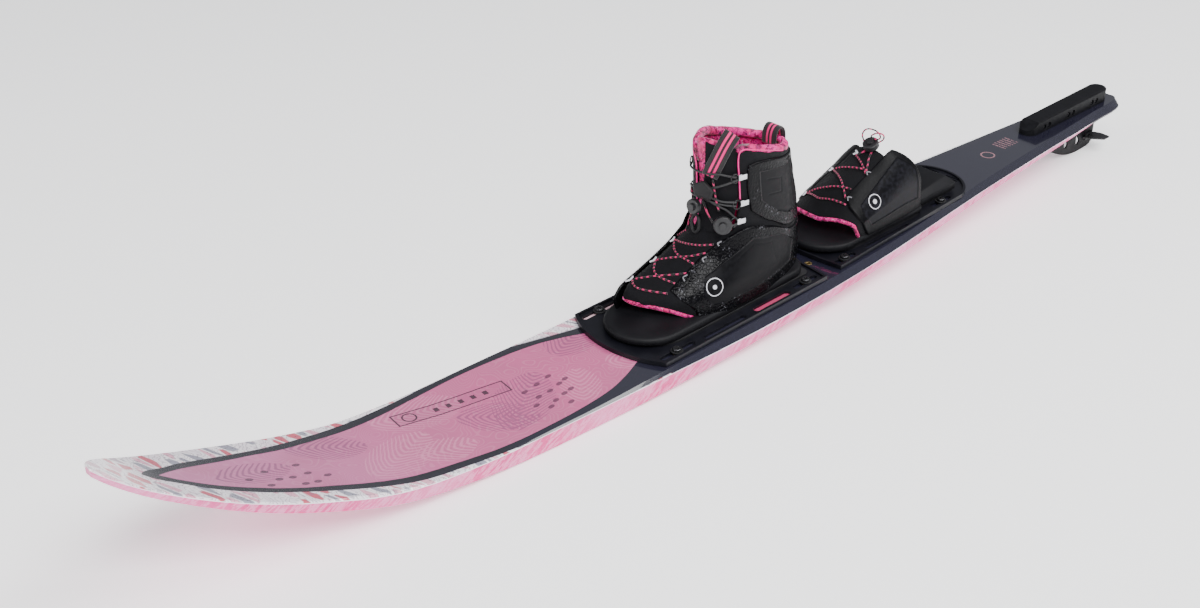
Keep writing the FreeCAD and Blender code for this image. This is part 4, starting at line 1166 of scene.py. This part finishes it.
def front_laces(look, body):
    near = {"a": (890, 22, 107), "b": (898, 18, 98), "c": (911, 13, 88), "d": (922, 12, 80),
            "e": (935, 8, 72), "f": (947, 8, 64)}
    far = {1: (964, -32, 69), 2: (936, -31, 83), 3: (903, -30, 98)}
    strands = [("a", 3), ("c", 3), ("b", 2), ("e", 2), ("d", 1), ("f", 1)]
    for index, (start, end) in enumerate(strands):
        made = lace("lower_lace_%d" % (index + 1), ON_BOOT, [near[start], far[end]],
                    3.4 + 1.0 * (index % 2), body, look["lace"], 1.1, 5, sag=0.8)
        finished(made, body, "lace_cord", *(["front_lower_lace"] if index == 0 else []))
    for index, (y, z) in enumerate(((-26, 108), (-25, 130), (-24, 150))):
        made = lace("rising_lace_%d" % (index + 1), ON_BOOT,
                    [(885, y, z - 12), (888, y + 5, z), (886, y + 1, z + 12)], 1.6, body, look["lace"],
                    1.1, 3)
        finished(made, body, "lace_cord")
    risers = [[(889, 18, 131), (891, 10, 142), (891, 1, 160)],
              [(887, 25, 146), (889, 21, 160), (889, 16, 184)]]
    for index, line in enumerate(risers):
        made = lace("lock_lace_%d" % (index + 1), ON_BOOT, line, 2.6, body, look["lace"], 1.1, 3)
        finished(made, body, "lace_cord")
    for index, (x, y, z) in enumerate(far.values()):
        loop = lace("far_loop_%d" % (index + 1), ON_BOOT,
                    [(x - 2, y - 3, z + 2), (x, y + 1, z), (x + 2, y - 3, z - 2)], 6.6, body,
                    look["webbing"], 1.1, 2)
        finished(loop, body, "loop_webbing", *(["front_lace_loops"] if index == 0 else []))
    for index, spot in enumerate(((886, 27, 109), (904, 21, 93), (928, 15, 77))):
        x, y, z = spot
        loop = lace("near_loop_%d" % (index + 1), ON_BOOT,
                    [(x - 2, y + 2, z + 2), (x, y - 2.5, z), (x + 2, y + 2, z - 3)], 4.4, body,
                    look["dull_webbing"], 0.9, 2)
        finished(loop, body, "loop_webbing")
    # wire rings, their tabs and the elastic cord
    rings = [(869, 35, 186), (865, 36, 153), (868, 35, 131)]
    for side, word in ((1, "near"), (-1, "far")):
        for index, (x, y, z) in enumerate(rings):
            centre = lifted(ON_BOOT, (x + 2, side * (y - 1), z), 3.2)
            ring = ring_object("%s_ring_%d" % (word, index + 1), centre, (0.45, side * 0.9, 0), 5.4, 4.6,
                               0.75, look["ring"], body, "ring_metal")
            if side > 0 and index == 0:
                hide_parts("front_lace_rings")
            line = [lifted(ON_BOOT, (x + dx, side * (y + 0.3), z), out)
                    for dx, out in ((-13, 2.7), (-8, 3.2), (-3, 4.2), (-2, 2.8), (-7, 1.5))]
            tab = band_strip("%s_ring_tab_%d" % (word, index + 1), line, np.array((0.0, 0.0, 1.0)), 6.0, 0.9,
                             look["webbing"], body, "loop_webbing")
            if side > 0 and index == 0:
                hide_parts("front_ring_tabs")
    cords = [[(869, 34, 187), (886, 24, 192), (892, 4, 190), (886, -24, 187), (871, -34, 184)],
             [(868, 35, 156), (884, 26, 158), (892, 4, 164), (888, -18, 168), (870, -34, 156)],
             [(868, 35, 151), (884, 26, 154), (892, 4, 158), (888, -20, 156), (868, -35, 150)],
             [(868, 35, 184), (884, 26, 178), (891, 10, 172), (892, 0, 168)],
             [(866, 35, 134), (878, 30, 147), (886, 23, 152), (891, 6, 160)],
             [(866, 35, 129), (874, 32, 127), (881, 28, 129)]]
    for index, line in enumerate(cords):
        made = lace("elastic_cord_%d" % (index + 1), ON_BOOT, line, 2.6 + 0.5 * (index % 2), body,
                    look["elastic"], 1.25, 2)
        finished(made, body, "elastic_cord", *(["front_upper_cord"] if index == 0 else []))


# ---------------------------------------------------------------- rear toe binding

SLEEVE_DROOP = 4.0      # how far the lip sags at the crown


def sleeve_front(around):
    """Where the toe sleeve ends ahead, further on its far side."""
    return 676 - 22 * np.abs(around) ** 1.7 - 7 * around


def sleeve_back(around):
    """Where it starts behind: cut forward over the crown, under the wraps at the sides."""
    return 526 + 48 * smooth01((0.62 - np.abs(around)) / 0.35)


def rear_binding(look):
    body = "rear_binding"
    near = [[(527, 49, 32), (585, 49, 31.5), (636, 50, 33)],
            [(560, 19, 116), (589, 21, 109), (609, 20, 100), (645, 20, 84)],
            [(527, 49, 32), (529, 48, 60), (533, 44, 90), (545, 32, 108), (560, 19, 116)],
            [(636, 50, 33), (643, 50, 43), (653, 46, 61), (655, 28, 75), (645, 20, 84)]]
    field = [(642, 38, 73), (600, 35, 94), (563, 32, 110), (540, 44, 90), (536, 48, 50), (632, 50, 47),
             (644, 46, 62)]
    made = panel("near_toe_wrap", ON_ARCH, near, (120, 110), WRAP, [look["denim"]], recesses=[(field, 0.5)],
                 flip=True)
    finished(made, body, "shell_black", "rear_lateral_wrap")
    far = [mirrored(near[0]), [(576, -19, 114), (597, -21, 107), (619, -25, 94), (654, -33, 72)],
           [(527, -49, 32), (536, -48, 60), (556, -45, 90), (568, -32, 107), (576, -19, 114)],
           [(636, -50, 33), (645, -50, 43), (658, -44, 58), (654, -33, 72)]]
    made = panel("far_toe_wrap", ON_ARCH, far, (120, 110), WRAP, [look["denim"]],
                 recesses=[(mirrored(field), 0.5)])
    finished(made, body, "shell_black", "rear_medial_wrap")
    # the sleeve inside
    around, along = np.meshgrid(np.linspace(-1, 1, 161), np.linspace(0, 1, 70), indexing="ij")
    x = sleeve_back(around) + (sleeve_front(around) - sleeve_back(around)) * along
    droop = SLEEVE_DROOP * smooth01((x - 640) / 36) * np.maximum(0, 1 - np.abs(around) / 0.6) ** 0.5
    flat = arch_surface(around, x, -0.4)
    distance = edge_distance(flat)
    rise = np.sqrt(np.maximum(0, 1 - (1 - np.clip(distance / 2.0, 0, 1)) ** 2))
    outer = arch_surface(around, x, -1.8 + 1.5 * rise - droop)
    made = sheet_solid("toe_sleeve", outer, arch_surface(around, x, -4.4 - droop),
                       [look["neoprene"], look["lining"]], 1)
    finished(made, body, "neoprene", "rear_liner", "rear_vamp")
    turns = np.linspace(-0.93, 0.93, 90)
    rim = arch_surface(turns, sleeve_front(turns) + 0.5,
                       -2.6 - SLEEVE_DROOP * np.maximum(0, 1 - np.abs(turns) / 0.6) ** 0.5)
    made = sweep("toe_sleeve_trim", rim, oval(2.0, 2.6, 12), look["lining"], body)
    finished(made, body, "neoprene")
    # laces
    strands = [[(655, 26, 75), (663, -10, 72), (655, -35, 69)],
               [(638, 19, 87), (650, -12, 82), (656, -34, 70)],
               [(650, 21, 81), (634, 0, 92), (620, -24, 94)],
               [(606, 18, 102), (613, 0, 101), (619, -23, 95)],
               [(610, 19, 100), (602, 6, 107), (594, -10, 111)],
               [(595, -9, 111), (588, -4, 113), (577, 1, 114)],
               [(607, 18, 102), (593, 9, 109), (579, 4, 114)]]
    for index, line in enumerate(strands):
        made = lace("toe_lace_%d" % (index + 1), ON_ARCH, line, 2.0 + 0.6 * (index % 2), body,
                    look["lace"], 1.1, 3)
        finished(made, body, "lace_cord", *(["rear_lace"] if index == 0 else []))
    loops = [(655, -37, 68), (619, -27, 93), (591, -12, 112), (608, 21, 101), (648, 24, 81)]
    for index, (px, py, pz) in enumerate(loops):
        lean = -1 if py < 0 else 1
        made = lace("toe_loop_%d" % (index + 1), ON_ARCH,
                    [(px - 3, py + lean * 3, pz), (px, py - lean * 2, pz), (px + 3, py + lean * 3, pz)],
                    3.0, body, look["webbing" if py < 0 else "dull_webbing"], 1.2 if py < 0 else 0.9, 2)
        finished(made, body, "loop_webbing", *(["rear_lace_loops"] if index == 0 else []))
    bed = padded_block("rear_foam_bed", pad_outline(520.3, 713, 50, 10), BED_LOW, BED_TOP, 3.2, 0.3,
                       look["foam"])
    finished(bed, body, "footbed_foam", "rear_footbed")
    heel_pad(look, body)


def heel_pad(look, body):
    """The foam block behind the toe binding, cut in facets."""
    lower = [(440, -40), (440, 40), (520, 40), (520, -40)]
    upper = [(449, -29, 45.5), (449, 29, 45.5), (519.5, 33, 42), (519.5, -33, 42)]
    middle = [(440.5, -40, 38), (440.5, 40, 38), (519.9, 40, 36), (519.9, -40, 36)]
    shape = bmesh.new()
    rows = [[shape.verts.new(p) for p in row] for row in ([(x, y, BED_LOW) for x, y in lower], middle, upper)]
    for a, b in zip(rows, rows[1:]):
        for k in range(4):
            shape.faces.new((a[k], a[(k + 1) % 4], b[(k + 1) % 4], b[k]))
    shape.faces.new(rows[0][::-1])
    shape.faces.new(rows[-1])
    bmesh.ops.recalc_face_normals(shape, faces=shape.faces)
    bmesh.ops.bevel(shape, geom=list(shape.edges), offset=1.6, segments=4, profile=0.5, affect="EDGES")
    made = bmesh_object("heel_foam_block", shape, look["foam"])
    finished(made, body, "footbed_foam", "rear_heel_pad")


TAIL_LOOP = [(3, -9, 5), (5, -11, 10), (5, -12, 17), (3, -7, 24), (-2, 2, 23), (-5, 8, 18), (-5, 9, 12),
             (-3, 4, 10), (0, -2, 12), (-1, -2, 15), (-4, 4, 19), (-8, 11, 18), (-9, 12, 12), (-7, 8, 7),
             (-4, 3, 4)]
TAIL_RADIUS, TAIL_LENGTH = 0.9, 0.092


def lace_tail(look):
    """The free loop of lace that stands up from the rear lock."""
    foot = lifted(ON_ARCH, (578, 1, 114), 3.8)
    line = [foot + np.array(step) for step in TAIL_LOOP]
    made = tube_object("rear_lace_loop", line, TAIL_RADIUS, look["lace"], "rear_binding")
    start = row_points([line[0]])[0]
    finished(made, "rear_binding", "lace_cord", "rear_lace_tail")


# ---------------------------------------------------------------- the whole ski

def looks():
    # the last number of each border is how strong its painted glints are: light flecks put into its colour for
    # highlights
    return {"shell": shell_material("boot_synthetic", (0.2, 0.12, 0.26, 1.0),
                                    ((0.0022, 0.0022, 0.003, 1), (0.004, 0.004, 0.0054, 1)),
                                    ((909, 43.5, 67), 10.3)),
            "denim": shell_material("toe_synthetic", (0.05, 0.34, 0.44, 0.0),
                                    ((0.0024, 0.0024, 0.0034, 1), (0.0095, 0.0095, 0.0135, 1)),
                                    ((621, 45, 74), 9.0)),
            "neoprene": cloth_material("neoprene_knit", (0.0035, 0.0035, 0.0045, 1)),
            "lining": lining_material(), "lace": lace_material(),
            "elastic": plain("elastic_braid", (0.008, 0.008, 0.009, 1), (0.02, 0.02, 0.022, 1), 0.7,
                             (0.5, 0.7), 0.1, 0.6),
            "webbing": plain("grey_webbing", (0.52, 0.52, 0.56, 1), (0.78, 0.78, 0.82, 1), 0.9,
                             (0.35, 0.6), 0.12, 0.7),
            "dull_webbing": plain("dull_webbing", (0.1, 0.1, 0.11, 1), (0.22, 0.22, 0.24, 1), 0.9,
                                  (0.4, 0.6), 0.12, 0.7),
            "hot_pink": plain("pink_piping", rgb(226, 0, 118), rgb(232, 40, 140), 3.0, (0.45, 0.6), 0.05,
                              0.8), "tab": strap_material("striped_webbing", (0.009, 0.008, 0.009, 1),
                                                          rgb(226, 0, 116), 0.55, 0.8),
            "rubber": plain("moulded_rubber", (0.006, 0.006, 0.0068, 1), (0.01, 0.01, 0.011, 1), 6.0,
                            (0.5, 0.65), 0.05, 0.8, Specular_IOR_Level=0.3),
            "foam": plain("closed_foam", (0.003, 0.003, 0.0042, 1), (0.006, 0.006, 0.0078, 1), 30.0,
                          (0.52, 0.64), 0.06, 0.7, Specular_IOR_Level=0.2),
            "ring": plain("coated_wire", (0.012, 0.012, 0.013, 1), (0.03, 0.03, 0.032, 1), 4.0,
                          (0.2, 0.35), 0.02, 1.0, Metallic=0.6)}


def dress_nodes(look):
    steel = rounded("black_oxide_steel", (0.03, 0.03, 0.033, 1), (0.06, 0.06, 0.065, 1), 2.0, (0.2, 0.34),
                    Metallic=0.8)
    brass = rounded("turned_brass", (0.55, 0.4, 0.16, 1), (0.7, 0.52, 0.24, 1), 2.0, (0.25, 0.4),
                    Metallic=1.0)
    gloss = rounded("gloss_moulding", (0.0045, 0.0045, 0.0068, 1), (0.007, 0.007, 0.0105, 1), 20.0,
                    (0.3, 0.42), radius=0.3, Specular_IOR_Level=0.2)
    matt = rounded("matt_moulding", (0.008, 0.008, 0.009, 1), (0.013, 0.013, 0.015, 1), 8.0, (0.45, 0.6))
    lock = rounded("lock_moulding", (0.008, 0.008, 0.009, 1), (0.013, 0.013, 0.015, 1), 3.0, (0.34, 0.46),
                   radius=0.8)
    anodised = rounded("black_anodised", (0.004, 0.004, 0.005, 1), (0.007, 0.007, 0.009, 1), 9.0,
                       (0.42, 0.54), radius=0.6, Specular_IOR_Level=0.12)
    shared = {"binding_screws": steel, "screw_washers": matt, "front_frame_screws": steel,
              "rear_frame_screws": steel, "fin_set_screws": steel, "wing_bolt": steel,
              "binding_inserts": brass, "spare_inserts": brass, "front_plate": gloss, "rear_plate": gloss,
              "front_sole_frame": matt, "rear_sole_frame": matt, "front_lower_lock": lock,
              "front_upper_lock": lock, "rear_lock": lock, "front_lower_button": lock,
              "front_upper_button": lock, "rear_button": lock, "fin_block": anodised,
              "fin_blade": anodised, "fin_shoe": matt, "wing": matt, "foam_core": core_material(),
              "deck_shell": deck_material(), "base_shell": base_material()}
    for name, material in shared.items():
        node = NODES[name]
        node.data.materials.clear()
        node.data.materials.append(material)


def main():
    camera()
    studio()
    look = looks()
    lace_tail(look)
    dress_nodes(look)
    front_boot(look)
    rear_binding(look)


main()
